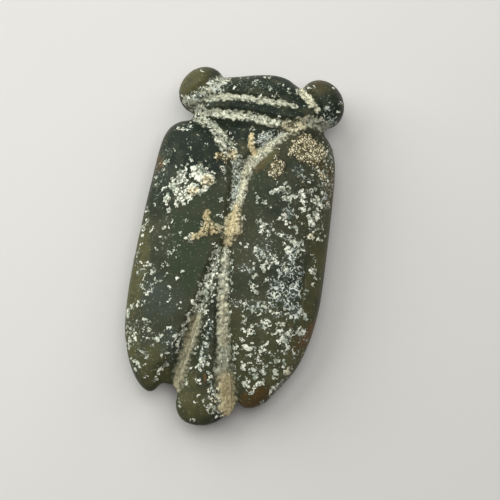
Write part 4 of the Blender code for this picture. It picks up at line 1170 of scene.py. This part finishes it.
class NodeSheet:
    """A node tree with short ways to add and join its nodes."""

    def __init__(self, tree: bpy.types.NodeTree) -> None:
        """Takes the tree to work on.

        Args:
            tree: A shader or geometry node tree.
        """
        self.tree = tree

    def add(self, kind: str, inputs: dict | None = None, **settings: object) -> bpy.types.Node:
        """Adds a node.

        Args:
            kind: The node's type.
            inputs: What goes into its sockets, each a value or another node's output.
            settings: Its own settings.

        Returns:
            The node.
        """
        node = self.tree.nodes.new(kind)
        for name, value in settings.items():
            setattr(node, name, value)
        for key, value in (inputs or {}).items():
            self.feed(node.inputs[key], value)
        return node

    def feed(self, socket: Socket, value: object) -> None:
        """Joins an output to a socket, or sets its value.

        Args:
            socket: The socket.
            value: An output socket or a plain value.
        """
        if isinstance(value, Socket):
            self.tree.links.new(value, socket)
        else:
            socket.default_value = value

    def math(self, operation: str, first: object, second: object = 0.0, clamp: bool = False) -> Socket:
        """Adds a Math node.

        Args:
            operation: What it does.
            first: Its first number.
            second: Its second number.
            clamp: True to keep the result from 0 to 1.

        Returns:
            Its output.
        """
        settings = {"operation": operation, "use_clamp": clamp}
        return self.add("ShaderNodeMath", {0: first, 1: second}, **settings).outputs[0]

    def times(self, first: object, second: object, clamp: bool = False) -> Socket:
        """Multiplies two numbers."""
        return self.math("MULTIPLY", first, second, clamp)

    def plus(self, first: object, second: object, clamp: bool = False) -> Socket:
        """Adds two numbers."""
        return self.math("ADD", first, second, clamp)

    def minus(self, first: object, second: object, clamp: bool = False) -> Socket:
        """Takes the second number from the first."""
        return self.math("SUBTRACT", first, second, clamp)

    def larger(self, first: object, second: object) -> Socket:
        """The larger of two numbers."""
        return self.math("MAXIMUM", first, second)

    def vector(self, operation: str, first: object, second: object) -> bpy.types.NodeOutputs:
        """Adds a Vector Math node and gives its outputs."""
        return self.add("ShaderNodeVectorMath", {0: first, 1: second}, operation=operation).outputs

    def blend(self, share: object, first: object, second: object) -> Socket:
        """Mixes two colours.

        Args:
            share: How much of the second colour there is.
            first: The first colour, a socket or three numbers.
            second: The second colour, a socket or three numbers.

        Returns:
            The mixed colour.
        """
        node = self.add("ShaderNodeMix", {"Factor": share}, data_type="RGBA")
        for place, colour in ((MIX_FIRST, first), (MIX_SECOND, second)):
            self.feed(node.inputs[place], colour if isinstance(colour, Socket) else (*colour, 1.0))
        return node.outputs[MIX_RESULT]

    def ramp(self, value: object, ends: Ramp) -> Socket:
        """An eased ramp from 0 to 1.

        Args:
            value: The number to ramp.
            ends: Where it starts and ends.

        Returns:
            The ramped number.
        """
        low, high = ends
        inputs = {"Value": value, "From Min": low, "From Max": high}
        return self.add("ShaderNodeMapRange", inputs, interpolation_type="SMOOTHSTEP").outputs["Result"]

    def noise(self, spot: object, mottle: Mottle, scale: object | None = None) -> Socket:
        """Adds a noise texture.

        Args:
            spot: Where it is read.
            mottle: Its settings.
            scale: How fine it is, where a socket says so.

        Returns:
            Its value, mostly from 0.3 to 0.7.
        """
        inputs = {
            "Vector": spot,
            "Scale": mottle.scale if scale is None else scale,
            "Detail": mottle.detail,
            "Roughness": mottle.roughness,
            "Distortion": mottle.bend,
        }
        return self.add("ShaderNodeTexNoise", inputs).outputs["Fac"]

    def even(self, spot: object, mottle: Mottle, scale: object | None = None) -> Socket:
        """Adds a noise texture with its middle values spread over 0 to 1.

        Args:
            spot: Where it is read.
            mottle: Its settings.
            scale: How fine it is, where a socket says so.

        Returns:
            Its value, from 0 to 1.
        """
        off_middle = self.minus(self.noise(spot, mottle, scale), NOISE_MIDDLE)
        return self.plus(self.times(off_middle, NOISE_SPREAD), NOISE_MIDDLE, clamp=True)

    def group(self, tree: bpy.types.NodeTree, **inputs: object) -> bpy.types.NodeOutputs:
        """Adds a shared shader group.

        Args:
            tree: The group.
            inputs: What goes into its sockets.

        Returns:
            Its outputs.
        """
        return self.add("ShaderNodeGroup", inputs, node_tree=tree).outputs

    def attribute(self, name: str) -> Socket:
        """Reads a number that the mesh carries."""
        return self.add("ShaderNodeAttribute", attribute_name=name).outputs["Fac"]

    def bump(self, shader: bpy.types.Node, height: Socket, strength: float, distance: float) -> None:
        """Gives a shader a fine relief.

        Args:
            shader: The shader.
            height: The relief.
            strength: How much of it shows.
            distance: How high it is, in metres.
        """
        inputs = {"Height": height, "Strength": strength, "Distance": distance}
        self.feed(shader.inputs["Normal"], self.add("ShaderNodeBump", inputs).outputs["Normal"])


def new_finish(name: str) -> tuple[bpy.types.Material, NodeSheet, bpy.types.Node, Socket]:
    """A plain material.

    Args:
        name: The material's name.

    Returns:
        The material, its sheet, its shader and the coordinates of the piece.
    """
    material = bpy.data.materials.new(name)
    material.use_nodes = True
    sheet = NodeSheet(material.node_tree)
    shader = material.node_tree.nodes["Principled BSDF"]
    return material, sheet, shader, sheet.add("ShaderNodeTexCoord").outputs["Object"]


def new_group(
    name: str, inputs: dict[str, str], outputs: dict[str, str]
) -> tuple[NodeSheet, bpy.types.NodeOutputs, bpy.types.NodeInputs]:
    """An empty shader group with named sockets.

    Args:
        name: The group's name.
        inputs: Each input's name and kind.
        outputs: Each output's name and kind.

    Returns:
        The group's sheet, what comes into it and what it puts out.
    """
    tree = bpy.data.node_groups.new(name, "ShaderNodeTree")
    for way, sockets in (("INPUT", inputs), ("OUTPUT", outputs)):
        for socket, kind in sockets.items():
            tree.interface.new_socket(socket, in_out=way, socket_type="NodeSocket" + kind)
    sheet = NodeSheet(tree)
    return sheet, sheet.add("NodeGroupInput").outputs, sheet.add("NodeGroupOutput").inputs


@dataclass(frozen=True)
class BrokenEdge:
    """A shader group that breaks a deposit into grains where it thins out."""

    grains: Mottle = Mottle(1.0, 1.5)
    edge: Ramp = (-1.0, 1.0)
    seam: Ramp = (-4.5, -1.0)
    held: Ramp = (0.02, 0.15)

    def tree(self) -> bpy.types.NodeTree:
        """Makes the group.

        Returns:
            The group, with inputs Vector, Mask, Grain for the grains' scale and Edge, and outputs
            Mask and Rim, the seam around each grain.
        """
        sheet, start, end = new_group(
            "broken_edge",
            {"Vector": "Vector", "Mask": "Float", "Grain": "Float", "Edge": "Float"},
            {"Mask": "Float", "Rim": "Float"},
        )
        grains = sheet.even(start["Vector"], self.grains, start["Grain"])
        depth = sheet.minus(sheet.plus(start["Mask"], grains), 1.0)
        depth = sheet.math("DIVIDE", depth, start["Edge"])
        held = sheet.ramp(start["Mask"], self.held)
        sheet.feed(end["Mask"], sheet.times(sheet.ramp(depth, self.edge), held))
        sheet.feed(end["Rim"], sheet.times(sheet.ramp(depth, self.seam), held))
        return sheet.tree


@dataclass(frozen=True)
class CalcifiedNet:
    """A shader group for the fine net of dashes and dots that weathering leaves in the polish."""

    lines: Mottle = Mottle(1250.0, 1.6, 0.55, 0.9)
    line_sharpness: float = 8.5
    line_share: float = 0.68
    dots: Mottle = Mottle(2300.0, 1.2)
    dot_share: float = 0.32
    patches: Mottle = Mottle(640.0, 2.0)
    share_floor: float = 0.45
    share_swing: float = 0.65
    edge: Ramp = (0.96, 1.06)
    held: Ramp = (0.02, 0.15)
    film: float = 0.55

    def tree(self) -> bpy.types.NodeTree:
        """Makes the group.

        Returns:
            The group, with inputs Vector and Share, and outputs Mask and Film, a thin haze.
        """
        sheet, start, end = new_group(
            "calcified_net", {"Vector": "Vector", "Share": "Float"}, {"Mask": "Float", "Film": "Float"}
        )
        spot, share = start["Vector"], start["Share"]
        off_line = sheet.math("ABSOLUTE", sheet.minus(sheet.noise(spot, self.lines), NOISE_MIDDLE))
        lines = sheet.minus(1.0, sheet.times(off_line, self.line_sharpness), clamp=True)
        dots = sheet.even(spot, self.dots)
        patch = sheet.even(spot, self.patches)
        pattern = sheet.plus(sheet.times(lines, self.line_share), sheet.times(dots, self.dot_share))
        local = sheet.plus(self.share_floor, sheet.times(patch, self.share_swing))
        local = sheet.times(share, local)
        edge = sheet.ramp(sheet.plus(pattern, local), self.edge)
        sheet.feed(end["Mask"], sheet.times(edge, sheet.ramp(share, self.held)))
        sheet.feed(end["Film"], sheet.times(sheet.times(local, patch), self.film, clamp=True))
        return sheet.tree


@dataclass(frozen=True)
class Granules:
    """A shader group for packed granules."""

    drift: Mottle = Mottle(2600.0, 2.0)
    drift_reach: float = 0.0004
    gap: Ramp = (0.2, 1.0)

    def tree(self) -> bpy.types.NodeTree:
        """Makes the group.

        Returns:
            The group, with inputs Vector, Scale and Width, and outputs Gap, near 1 between
            granules, and Tone, one for each.
        """
        sheet, start, end = new_group(
            "granules",
            {"Vector": "Vector", "Scale": "Float", "Width": "Float"},
            {"Gap": "Float", "Tone": "Float"},
        )
        drift = {"Vector": start["Vector"], "Scale": self.drift.scale, "Detail": self.drift.detail}
        drift = sheet.add("ShaderNodeTexNoise", drift).outputs["Color"]
        shift = sheet.vector("MULTIPLY", drift, (self.drift_reach,) * 3)[0]
        cells = {"Vector": sheet.vector("ADD", start["Vector"], shift)[0], "Scale": start["Scale"]}
        border = sheet.add("ShaderNodeTexVoronoi", cells, feature="DISTANCE_TO_EDGE").outputs["Distance"]
        whole = sheet.add("ShaderNodeTexVoronoi", cells, feature="F1").outputs["Color"]
        inner = sheet.ramp(sheet.math("DIVIDE", border, start["Width"]), self.gap)
        sheet.feed(end["Gap"], sheet.minus(1.0, inner))
        sheet.feed(end["Tone"], sheet.add("ShaderNodeSeparateColor", {"Color": whole}).outputs[0])
        return sheet.tree


@dataclass(frozen=True)
class SoilTone:
    """A shader group for the mottled colour of dried burial soil. Colours are dark, then light."""

    mottle: Mottle = Mottle(1700.0, 2.0, 0.6)
    cream: Pair = ((0.36, 0.34, 0.21), (0.88, 0.84, 0.62))
    ochre: Pair = ((0.30, 0.22, 0.09), (0.86, 0.76, 0.46))

    def tree(self) -> bpy.types.NodeTree:
        """Makes the group.

        Returns:
            The group, with inputs Vector and Ochre, and output Color.
        """
        inputs = {"Vector": "Vector", "Ochre": "Float"}
        sheet, start, end = new_group("soil_tone", inputs, {"Color": "Color"})
        light = sheet.even(start["Vector"], self.mottle)
        cream, ochre = (sheet.blend(light, *pair) for pair in (self.cream, self.ochre))
        sheet.feed(end["Color"], sheet.blend(start["Ochre"], cream, ochre))
        return sheet.tree


@dataclass(frozen=True)
class SiltTone:
    """A shader group for the smooth silt of the cuts. Colours are dark, then light."""

    stretch: Spot = (1.0, 0.22, 1.0)
    streaks: Mottle = Mottle(1800.0, 4.0, 0.7)
    streak_share: float = 0.6
    fine: Mottle = Mottle(3600.0, 3.0, 0.7)
    fine_share: float = 0.4
    khaki: Pair = ((0.09, 0.10, 0.07), (0.27, 0.27, 0.19))
    cream: Pair = ((0.32, 0.34, 0.25), (0.86, 0.85, 0.66))
    ochre: Pair = ((0.26, 0.19, 0.08), (0.84, 0.73, 0.44))

    def tree(self) -> bpy.types.NodeTree:
        """Makes the group, streaked along the amulet.

        Returns:
            The group, with inputs Vector, Pale and Ochre, and output Color.
        """
        inputs = {"Vector": "Vector", "Pale": "Float", "Ochre": "Float"}
        sheet, start, end = new_group("silt_tone", inputs, {"Color": "Color"})
        long = sheet.vector("MULTIPLY", start["Vector"], self.stretch)[0]
        streaks = sheet.times(sheet.even(long, self.streaks), self.streak_share)
        fine = sheet.times(sheet.even(start["Vector"], self.fine), self.fine_share)
        light = sheet.plus(streaks, fine)
        khaki, cream, ochre = (sheet.blend(light, *pair) for pair in (self.khaki, self.cream, self.ochre))
        clean = sheet.blend(start["Pale"], khaki, cream)
        sheet.feed(end["Color"], sheet.blend(start["Ochre"], clean, ochre))
        return sheet.tree


@dataclass(frozen=True)
class StoneColour:
    """The clean nephrite: mottled, shifted by its tints and dusted with pale specks. Its deep, olive,
    brown and grey tints also paint shade, a glow of light through the edges and a sheen.
    """

    deep: Colour = (0.021, 0.030, 0.018)
    mid: Colour = (0.040, 0.048, 0.028)
    warm: Colour = (0.059, 0.055, 0.029)
    # The deep tint also paints shade, the olive and brown tints a glow of light through the edges, and
    # the grey tint a sheen
    tints: tuple[tuple[Tint, Colour], ...] = (
        (Tint.GREEN, (0.030, 0.044, 0.022)),
        (Tint.GREY_AND_SHEEN, (0.052, 0.062, 0.047)),
        (Tint.DEEP_AND_SHADE, (0.012, 0.019, 0.013)),
        (Tint.OLIVE_AND_LIGHT, (0.082, 0.080, 0.035)),
        (Tint.BROWN, (0.082, 0.052, 0.018)),
        (Tint.RUST, (0.155, 0.084, 0.036)),
    )
    dust: Colour = (0.24, 0.25, 0.17)
    mottle: Mottle = Mottle(260.0, 5.0, 0.6)
    mottle_ramp: Ramp = (0.36, 0.66)
    warmth: Mottle = Mottle(340.0, 5.0, 0.68, 0.5)
    warmth_share: float = 0.75
    patches: Mottle = Mottle(480.0, 4.0, 0.65)
    patch_ramp: Ramp = (0.34, 0.62)
    patch_floor: float = 0.45
    specks: Mottle = Mottle(2900.0, 1.0)
    speck_ramp: Ramp = (0.64, 0.73)
    speck_share: float = 0.5

    def colour(self, sheet: NodeSheet, spot: Socket) -> Socket:
        """Mixes the colour.

        Args:
            sheet: The material's sheet.
            spot: Object coordinates.

        Returns:
            The colour.
        """
        mottle = sheet.ramp(sheet.noise(spot, self.mottle), self.mottle_ramp)
        colour = sheet.blend(mottle, self.deep, self.mid)
        warmth = sheet.times(sheet.even(spot, self.warmth), self.warmth_share)
        colour = sheet.blend(warmth, colour, self.warm)
        for kind, tint in self.tints:
            patchy = sheet.ramp(sheet.noise(spot, self.patches), self.patch_ramp)
            patchy = sheet.plus(self.patch_floor, patchy)
            share = sheet.times(sheet.attribute(kind.value), patchy, clamp=True)
            colour = sheet.blend(share, colour, tint)
        specks = sheet.ramp(sheet.noise(spot, self.specks), self.speck_ramp)
        return sheet.blend(sheet.times(specks, self.speck_share), colour, self.dust)


@dataclass(frozen=True)
class CrustColour:
    """The thick white crust, which yellows with the ochre field and cracks into flakes."""

    white: Colour = (0.90, 0.91, 0.77)
    worn_white: Colour = (0.56, 0.60, 0.49)
    dull_white: Colour = (0.26, 0.30, 0.24)
    yellowed: Pair = ((0.40, 0.30, 0.14), (0.88, 0.78, 0.50))
    crack: Colour = (0.07, 0.07, 0.045)
    mottle: Mottle = Mottle(1600.0, 2.0, 0.6)
    mottle_ramp: Ramp = (0.38, 0.56)
    wear: Mottle = Mottle(560.0, 2.0, 0.6)
    wear_ramp: Ramp = (0.4, 0.56)
    flake_scale: float = 1500.0
    flake_gap: float = 0.14
    parting: Mottle = Mottle(900.0, 1.0)
    parting_ramp: Ramp = (0.34, 0.56)

    def colour(self, sheet: NodeSheet, groups: Groups, spot: Socket, ochre: Socket) -> Socket:
        """Mixes the colour.

        Args:
            sheet: The material's sheet.
            groups: The shared shader groups by name.
            spot: Object coordinates.
            ochre: The ochre field.

        Returns:
            The colour.
        """
        mottle = sheet.ramp(sheet.noise(spot, self.mottle), self.mottle_ramp)
        worn = sheet.ramp(sheet.noise(spot, self.wear), self.wear_ramp)
        bright = sheet.blend(worn, self.worn_white, self.white)
        white = sheet.blend(mottle, self.dull_white, bright)
        warm = sheet.blend(mottle, *self.yellowed)
        sizes = {"Scale": self.flake_scale, "Width": self.flake_gap}
        flakes = sheet.group(groups["granules"], Vector=spot, **sizes)
        parted = sheet.ramp(sheet.noise(spot, self.parting), self.parting_ramp)
        cracked = sheet.times(flakes["Gap"], parted)
        return sheet.blend(cracked, sheet.blend(ochre, white, warm), self.crack)


@dataclass(frozen=True)
class SoilColour:
    """The granular soil: pale granules with dark gaps, from which some have fallen."""

    gap: Colour = (0.045, 0.036, 0.014)
    gap_share: float = 0.93
    granule_scale: float = 1900.0
    granule_gap: float = 0.3
    fallen: Ramp = (0.16, 0.26)

    def colour(self, sheet: NodeSheet, groups: Groups, spot: Socket, ochre: Socket) -> Socket:
        """Mixes the colour.

        Args:
            sheet: The material's sheet.
            groups: The shared shader groups by name.
            spot: Object coordinates.
            ochre: The ochre field.

        Returns:
            The colour.
        """
        soil = sheet.group(groups["soil_tone"], Vector=spot, Ochre=ochre)["Color"]
        sizes = {"Scale": self.granule_scale, "Width": self.granule_gap}
        grains = sheet.group(groups["granules"], Vector=spot, **sizes)
        fallen = sheet.minus(1.0, sheet.ramp(grains["Tone"], self.fallen))
        dark = sheet.times(sheet.larger(grains["Gap"], fallen), self.gap_share)
        return sheet.blend(dark, soil, self.gap)


@dataclass(frozen=True)
class Fray:
    """How a deposit thins out: the scale of its grains and how soft their edges are."""

    grain: float
    edge: float


@dataclass(frozen=True)
class JadeFinish:
    """Dark nephrite with a worn polish, calcified flecks and soil in its cuts.

    Colours are linear, and the relief's height is in metres.
    """

    stone: StoneColour = StoneColour()
    crust: CrustColour = CrustColour()
    soil: SoilColour = SoilColour()
    calcite_fray: Fray = Fray(2100.0, 0.12)
    soil_fray: Fray = Fray(2100.0, 0.14)
    silt_fray: Fray = Fray(1900.0, 0.8)
    clay_fray: Fray = Fray(1900.0, 0.5)
    film: Colour = (0.14, 0.175, 0.16)
    net: Pair = ((0.23, 0.275, 0.255), (0.76, 0.80, 0.71))
    net_mottle: Mottle = Mottle(1700.0, 1.6, 0.55)
    seam: Colour = (0.010, 0.013, 0.008)
    seam_share: float = 0.6
    silted_seam: float = 0.52
    polish: float = 0.36
    polish_swing: float = 0.14
    polish_wear: Mottle = Mottle(420.0, 5.0, 0.6)
    chalk_roughness: float = 0.43
    specular: float = 0.1
    crumbs: Mottle = Mottle(3600.0, 3.0, 0.7)
    crumb_height: float = 0.9
    pits: Mottle = Mottle(1300.0, 4.0, 0.6)
    pit_height: float = 0.12
    relief_share: float = 0.6
    relief_height: float = 0.0001

    def material(self, groups: Groups) -> bpy.types.Material:
        """Makes the material.

        Args:
            groups: The shared shader groups by name.

        Returns:
            The material.
        """
        material, sheet, shader, spot = new_finish("worn_jade")
        ochre = sheet.attribute(Deposit.OCHRE.value)
        calcite, rim = self._frayed(sheet, groups, spot, Deposit.CALCITE, self.calcite_fray)
        earth, earth_rim = self._frayed(sheet, groups, spot, Deposit.SOIL, self.soil_fray)
        silt, _ = self._frayed(sheet, groups, spot, Deposit.SILT, self.silt_fray)
        clay, _ = self._frayed(sheet, groups, spot, Deposit.CLAY, self.clay_fray)
        veil = sheet.attribute(Deposit.VEIL.value)
        net = sheet.group(groups["calcified_net"], Vector=spot, Share=veil)
        colour = sheet.blend(net["Film"], self.stone.colour(sheet, spot), self.film)
        pale = sheet.attribute(Deposit.PALE.value)
        smooth = sheet.group(groups["silt_tone"], Vector=spot, Pale=pale, Ochre=ochre)["Color"]
        laid = sheet.larger(silt, clay)
        colour = sheet.blend(laid, colour, smooth)
        bare = sheet.minus(self.seam_share, sheet.times(laid, self.silted_seam))
        colour = sheet.blend(sheet.times(sheet.larger(rim, earth_rim), bare), colour, self.seam)
        cool = sheet.blend(sheet.even(spot, self.net_mottle), *self.net)
        colour = sheet.blend(net["Mask"], colour, cool)
        colour = sheet.blend(calcite, colour, self.crust.colour(sheet, groups, spot, ochre))
        colour = sheet.blend(earth, colour, self.soil.colour(sheet, groups, spot, ochre))
        sheet.feed(shader.inputs["Base Color"], colour)
        chalky = sheet.larger(calcite, net["Mask"])
        cover = sheet.larger(chalky, sheet.larger(laid, earth))
        worn = sheet.times(sheet.noise(spot, self.polish_wear), self.polish_swing)
        rough = sheet.plus(sheet.plus(self.polish, worn), sheet.times(cover, self.chalk_roughness))
        sheet.feed(shader.inputs["Roughness"], rough)
        shader.inputs["Specular IOR Level"].default_value = self.specular
        crumbs = sheet.times(sheet.noise(spot, self.crumbs), sheet.times(cover, self.crumb_height))
        pits = sheet.times(sheet.noise(spot, self.pits), self.pit_height)
        sheet.bump(shader, sheet.plus(crumbs, pits), self.relief_share, self.relief_height)
        return material

    def _frayed(
        self, sheet: NodeSheet, groups: Groups, spot: Socket, kind: Deposit, fray: Fray
    ) -> tuple[Socket, Socket]:
        """A deposit's mask, broken into grains where it thins out, and the seam around them.

        Args:
            sheet: The material's sheet.
            groups: The shared shader groups by name.
            spot: Object coordinates.
            kind: The deposit.
            fray: How it thins out.

        Returns:
            The mask and the seam.
        """
        mask = sheet.attribute(kind.value)
        sizes = {"Grain": fray.grain, "Edge": fray.edge}
        broken = sheet.group(groups["broken_edge"], Vector=spot, Mask=mask, **sizes)
        return broken["Mask"], broken["Rim"]


@dataclass(frozen=True)
class GrainFinish:
    """Loose crumbs of soil and chalk."""

    chalk: Colour = (0.80, 0.76, 0.60)
    roughness: float = 0.9

    def material(self, groups: Groups) -> bpy.types.Material:
        """Makes the material.

        Args:
            groups: The shared shader groups by name.

        Returns:
            The material.
        """
        material, sheet, shader, spot = new_finish("soil_crumbs")
        ochre = sheet.attribute("grain_ochre")
        soil = sheet.group(groups["soil_tone"], Vector=spot, Ochre=ochre)["Color"]
        colour = sheet.blend(sheet.attribute("grain_tone"), soil, self.chalk)
        sheet.feed(shader.inputs["Base Color"], colour)
        shader.inputs["Roughness"].default_value = self.roughness
        return material


@dataclass
class BurialGrains:
    """Crumbs that cling to the stone where soil and chalk lie thick. Lengths are in millimetres."""

    stone: bpy.types.Object
    finish: bpy.types.Material
    least: float = 0.05
    most: float = 0.13
    width_share: float = 0.8
    height_share: float = 0.6
    per_square_mm: float = 9.0
    seed: int = 3

    def _empty_tree(self) -> NodeSheet:
        """A geometry tree with named inputs for the sizes, the seed and the material.

        Returns:
            The tree's sheet.
        """
        tree = bpy.data.node_groups.new("burial_grains", "GeometryNodeTree")
        sockets = {
            "Geometry": "Geometry", "Least": "Float", "Most": "Float", "Density": "Float",
            "Seed": "Int", "Finish": "Material",
        }
        for name, kind in sockets.items():
            tree.interface.new_socket(name, in_out="INPUT", socket_type="NodeSocket" + kind)
        tree.interface.new_socket("Geometry", in_out="OUTPUT", socket_type="NodeSocketGeometry")
        return NodeSheet(tree)

    def _tree(self) -> bpy.types.NodeTree:
        """The geometry tree that scatters the crumbs.

        Returns:
            The tree.
        """
        sheet = self._empty_tree()
        start = sheet.add("NodeGroupInput").outputs
        end = sheet.add("NodeGroupOutput").inputs
        amount = self._named(sheet, Deposit.GRAIN.value)
        density = sheet.times(sheet.times(amount, amount), start["Density"])
        scatter = sheet.add(
            "GeometryNodeDistributePointsOnFaces",
            {"Mesh": start["Geometry"], "Density": density, "Seed": start["Seed"]},
            distribute_method="RANDOM",
        ).outputs
        ochre = self._named(sheet, Deposit.OCHRE.value)
        points = self._keep(sheet, scatter["Points"], "grain_ochre", ochre)
        points = self._keep(sheet, points, "grain_tone", self._random(sheet, 0.0, 1.0, start["Seed"]))
        crumb = sheet.add("GeometryNodeMeshIcoSphere", {"Radius": 1.0, "Subdivisions": 1}).outputs["Mesh"]
        size = self._random(sheet, start["Least"], start["Most"], start["Seed"])
        width, height = (sheet.times(size, share) for share in (self.width_share, self.height_share))
        squash = sheet.add("ShaderNodeCombineXYZ", {"X": size, "Y": width, "Z": height}).outputs[0]
        laid = {"Points": points, "Instance": crumb, "Rotation": scatter["Rotation"], "Scale": squash}
        crumbs = sheet.add("GeometryNodeInstanceOnPoints", laid).outputs["Instances"]
        whole = sheet.add("GeometryNodeRealizeInstances", {"Geometry": crumbs}).outputs["Geometry"]
        dressed = {"Geometry": whole, "Material": start["Finish"]}
        sheet.feed(end["Geometry"], sheet.add("GeometryNodeSetMaterial", dressed).outputs["Geometry"])
        return sheet.tree

    def _named(self, sheet: NodeSheet, name: str) -> Socket:
        """The stone's attribute of that name."""
        node = sheet.add("GeometryNodeInputNamedAttribute", {"Name": name}, data_type="FLOAT")
        return node.outputs["Attribute"]

    def _random(self, sheet: NodeSheet, least: object, most: object, seed: Socket) -> Socket:
        """A random number for each point.

        Args:
            sheet: The tree's sheet.
            least: The least value.
            most: The largest value.
            seed: The seed.

        Returns:
            The number.
        """
        inputs = {RANDOM_LEAST: least, RANDOM_MOST: most, "Seed": seed}
        return sheet.add("FunctionNodeRandomValue", inputs).outputs[RANDOM_VALUE]

    def _keep(self, sheet: NodeSheet, points: Socket, name: str, value: Socket) -> Socket:
        """Stores a number on each point.

        Args:
            sheet: The tree's sheet.
            points: The points.
            name: The attribute.
            value: The number.

        Returns:
            The points with the attribute.
        """
        inputs = {"Geometry": points, "Name": name, "Value": value}
        settings = {"data_type": "FLOAT", "domain": "POINT"}
        return sheet.add("GeometryNodeStoreNamedAttribute", inputs, **settings).outputs["Geometry"]

    def build(self) -> bpy.types.Object:
        """Scatters the crumbs and makes them one plain mesh.

        Returns:
            The crumbs' object.
        """
        crumbs = bpy.data.objects.new("burial_crumbs", self.stone.data.copy())
        bpy.context.scene.collection.objects.link(crumbs)
        tree = self._tree()
        scatter = crumbs.modifiers.new("scatter", "NODES")
        scatter.node_group = tree
        values = {
            "Least": self.least * MM, "Most": self.most * MM, "Density": self.per_square_mm / MM**2,
            "Seed": self.seed, "Finish": self.finish,
        }
        for item in tree.interface.items_tree:
            if item.in_out == "INPUT" and item.name in values:
                scatter[item.identifier] = values[item.name]
        return settle(crumbs)


@dataclass(frozen=True)
class PaperFinish:
    """A matt off-white sheet, darkened towards one corner by a painted light falloff. Lengths are in
    metres.
    """

    colour: Colour = (0.672, 0.660, 0.643)
    # The painted shade's darkest colour, at the lower right corner
    corner: Colour = (0.572, 0.564, 0.549)
    reach: float = 0.042
    falloff_ramp: Ramp = (-1.1, 1.5)
    cloud: Colour = (0.3, 0.3, 0.3)
    cloud_share: float = 0.04
    clouds: Mottle = Mottle(60.0, 4.0, 0.6)
    fibres: Mottle = Mottle(1800.0, 3.0, 0.6)
    fibre_share: float = 0.15
    fibre_height: float = 0.0001
    roughness: float = 0.85

    def material(self, corner_way: Vector) -> bpy.types.Material:
        """Makes the material.

        Args:
            corner_way: Toward the corner where a painted light falloff darkens the sheet, of length 1.

        Returns:
            The material.
        """
        material, sheet, shader, spot = new_finish("matt_sheet")
        along = sheet.vector("DOT_PRODUCT", spot, corner_way / self.reach)["Value"]
        # Painted shade: the sheet darkens towards the lower right, standing in for the light's falloff
        falloff_colour = sheet.blend(sheet.ramp(along, self.falloff_ramp), self.colour, self.corner)
        cloudy = sheet.times(sheet.noise(spot, self.clouds), self.cloud_share)
        sheet.feed(shader.inputs["Base Color"], sheet.blend(cloudy, falloff_colour, self.cloud))
        shader.inputs["Roughness"].default_value = self.roughness
        sheet.bump(shader, sheet.noise(spot, self.fibres), self.fibre_share, self.fibre_height)
        return material


@dataclass(frozen=True)
class SoftLamp:
    """A square soft light. Its place is across, up and above the picture's middle, in metres."""

    name: str
    place: Spot
    size: float
    power: float
    colour: Colour

    def hang(self, camera: PhotoCamera) -> None:
        """Hangs the light so that it faces the amulet.

        Args:
            camera: The camera whose picture the place is measured on.
        """
        lamp = bpy.data.lights.new(self.name, "AREA")
        lamp.size = self.size
        lamp.energy = self.power
        lamp.color = self.colour
        hung = bpy.data.objects.new(self.name, lamp)
        hung.location = camera.toward(*self.place)
        hung.rotation_euler = hung.location.to_track_quat("Z", "Y").to_euler()
        bpy.context.scene.collection.objects.link(hung)


@dataclass
class Studio:
    """The pale sheet under the amulet and the soft light over it. Lengths are in metres."""

    camera: PhotoCamera
    paper: PaperFinish = PaperFinish()
    floor_half: float = 1.5
    lamps: tuple[SoftLamp, ...] = (
        SoftLamp("key", (-0.42, 0.36, 0.37), 0.74, 5.16, (0.975, 1.0, 0.965)),
        SoftLamp("right", (0.42, 0.42, 0.5), 0.6, 1.68, (0.99, 0.975, 0.95)),
        SoftLamp("over", (0.05, 0.1, 0.9), 0.6, 3.84, (0.98, 0.98, 0.955)),
    )
    sky: Colour = (1.0, 0.94, 0.92)
    sky_strength: float = 0.144

    def floor(self) -> bpy.types.Object:
        """Makes the sheet.

        Returns:
            Its object.
        """
        mesh = bmesh.new()
        bmesh.ops.create_grid(mesh, x_segments=1, y_segments=1, size=self.floor_half)
        data = bpy.data.meshes.new("pale_sheet")
        mesh.to_mesh(data)
        mesh.free()
        lower_right = self.camera.toward(1.0, -1.0, 0.0).normalized()
        data.materials.append(self.paper.material(lower_right))
        sheet = bpy.data.objects.new("pale_sheet", data)
        bpy.context.scene.collection.objects.link(sheet)
        return sheet

    def light(self) -> None:
        """Hangs the lights and sets the sky's even glow."""
        for lamp in self.lamps:
            lamp.hang(self.camera)
        world = bpy.data.worlds.new("soft_room")
        world.use_nodes = True
        glow = world.node_tree.nodes["Background"]
        glow.inputs["Color"].default_value = (*self.sky, 1.0)
        glow.inputs["Strength"].default_value = self.sky_strength
        bpy.context.scene.world = world


def main() -> None:
    """Builds the amulet's pieces, the studio and the camera in order."""
    logging.basicConfig(level=logging.INFO, format="%(name)s: %(message)s")
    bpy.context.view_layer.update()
    bpy.context.scene.view_settings.view_transform = "Standard"
    camera = PhotoCamera()
    camera.build()
    studio = Studio(camera)
    studio.floor()
    studio.light()
    shared = (BrokenEdge(), CalcifiedNet(), Granules(), SoilTone(), SiltTone())
    groups = {tree.name: tree for tree in (effect.tree() for effect in shared)}
    stone = AmuletStone(camera).build()
    stone.data.materials.clear()
    stone.data.materials.append(JadeFinish().material(groups))
    crumbs = BurialGrains(stone, GrainFinish().material(groups)).build()
    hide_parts(NODE)
    for piece in (stone, crumbs):
        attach(piece, BODY)
        piece.data.calc_loop_triangles()
        log.info("%s: %d triangles", piece.name, len(piece.data.loop_triangles))


if __name__ == "__main__":
    main()
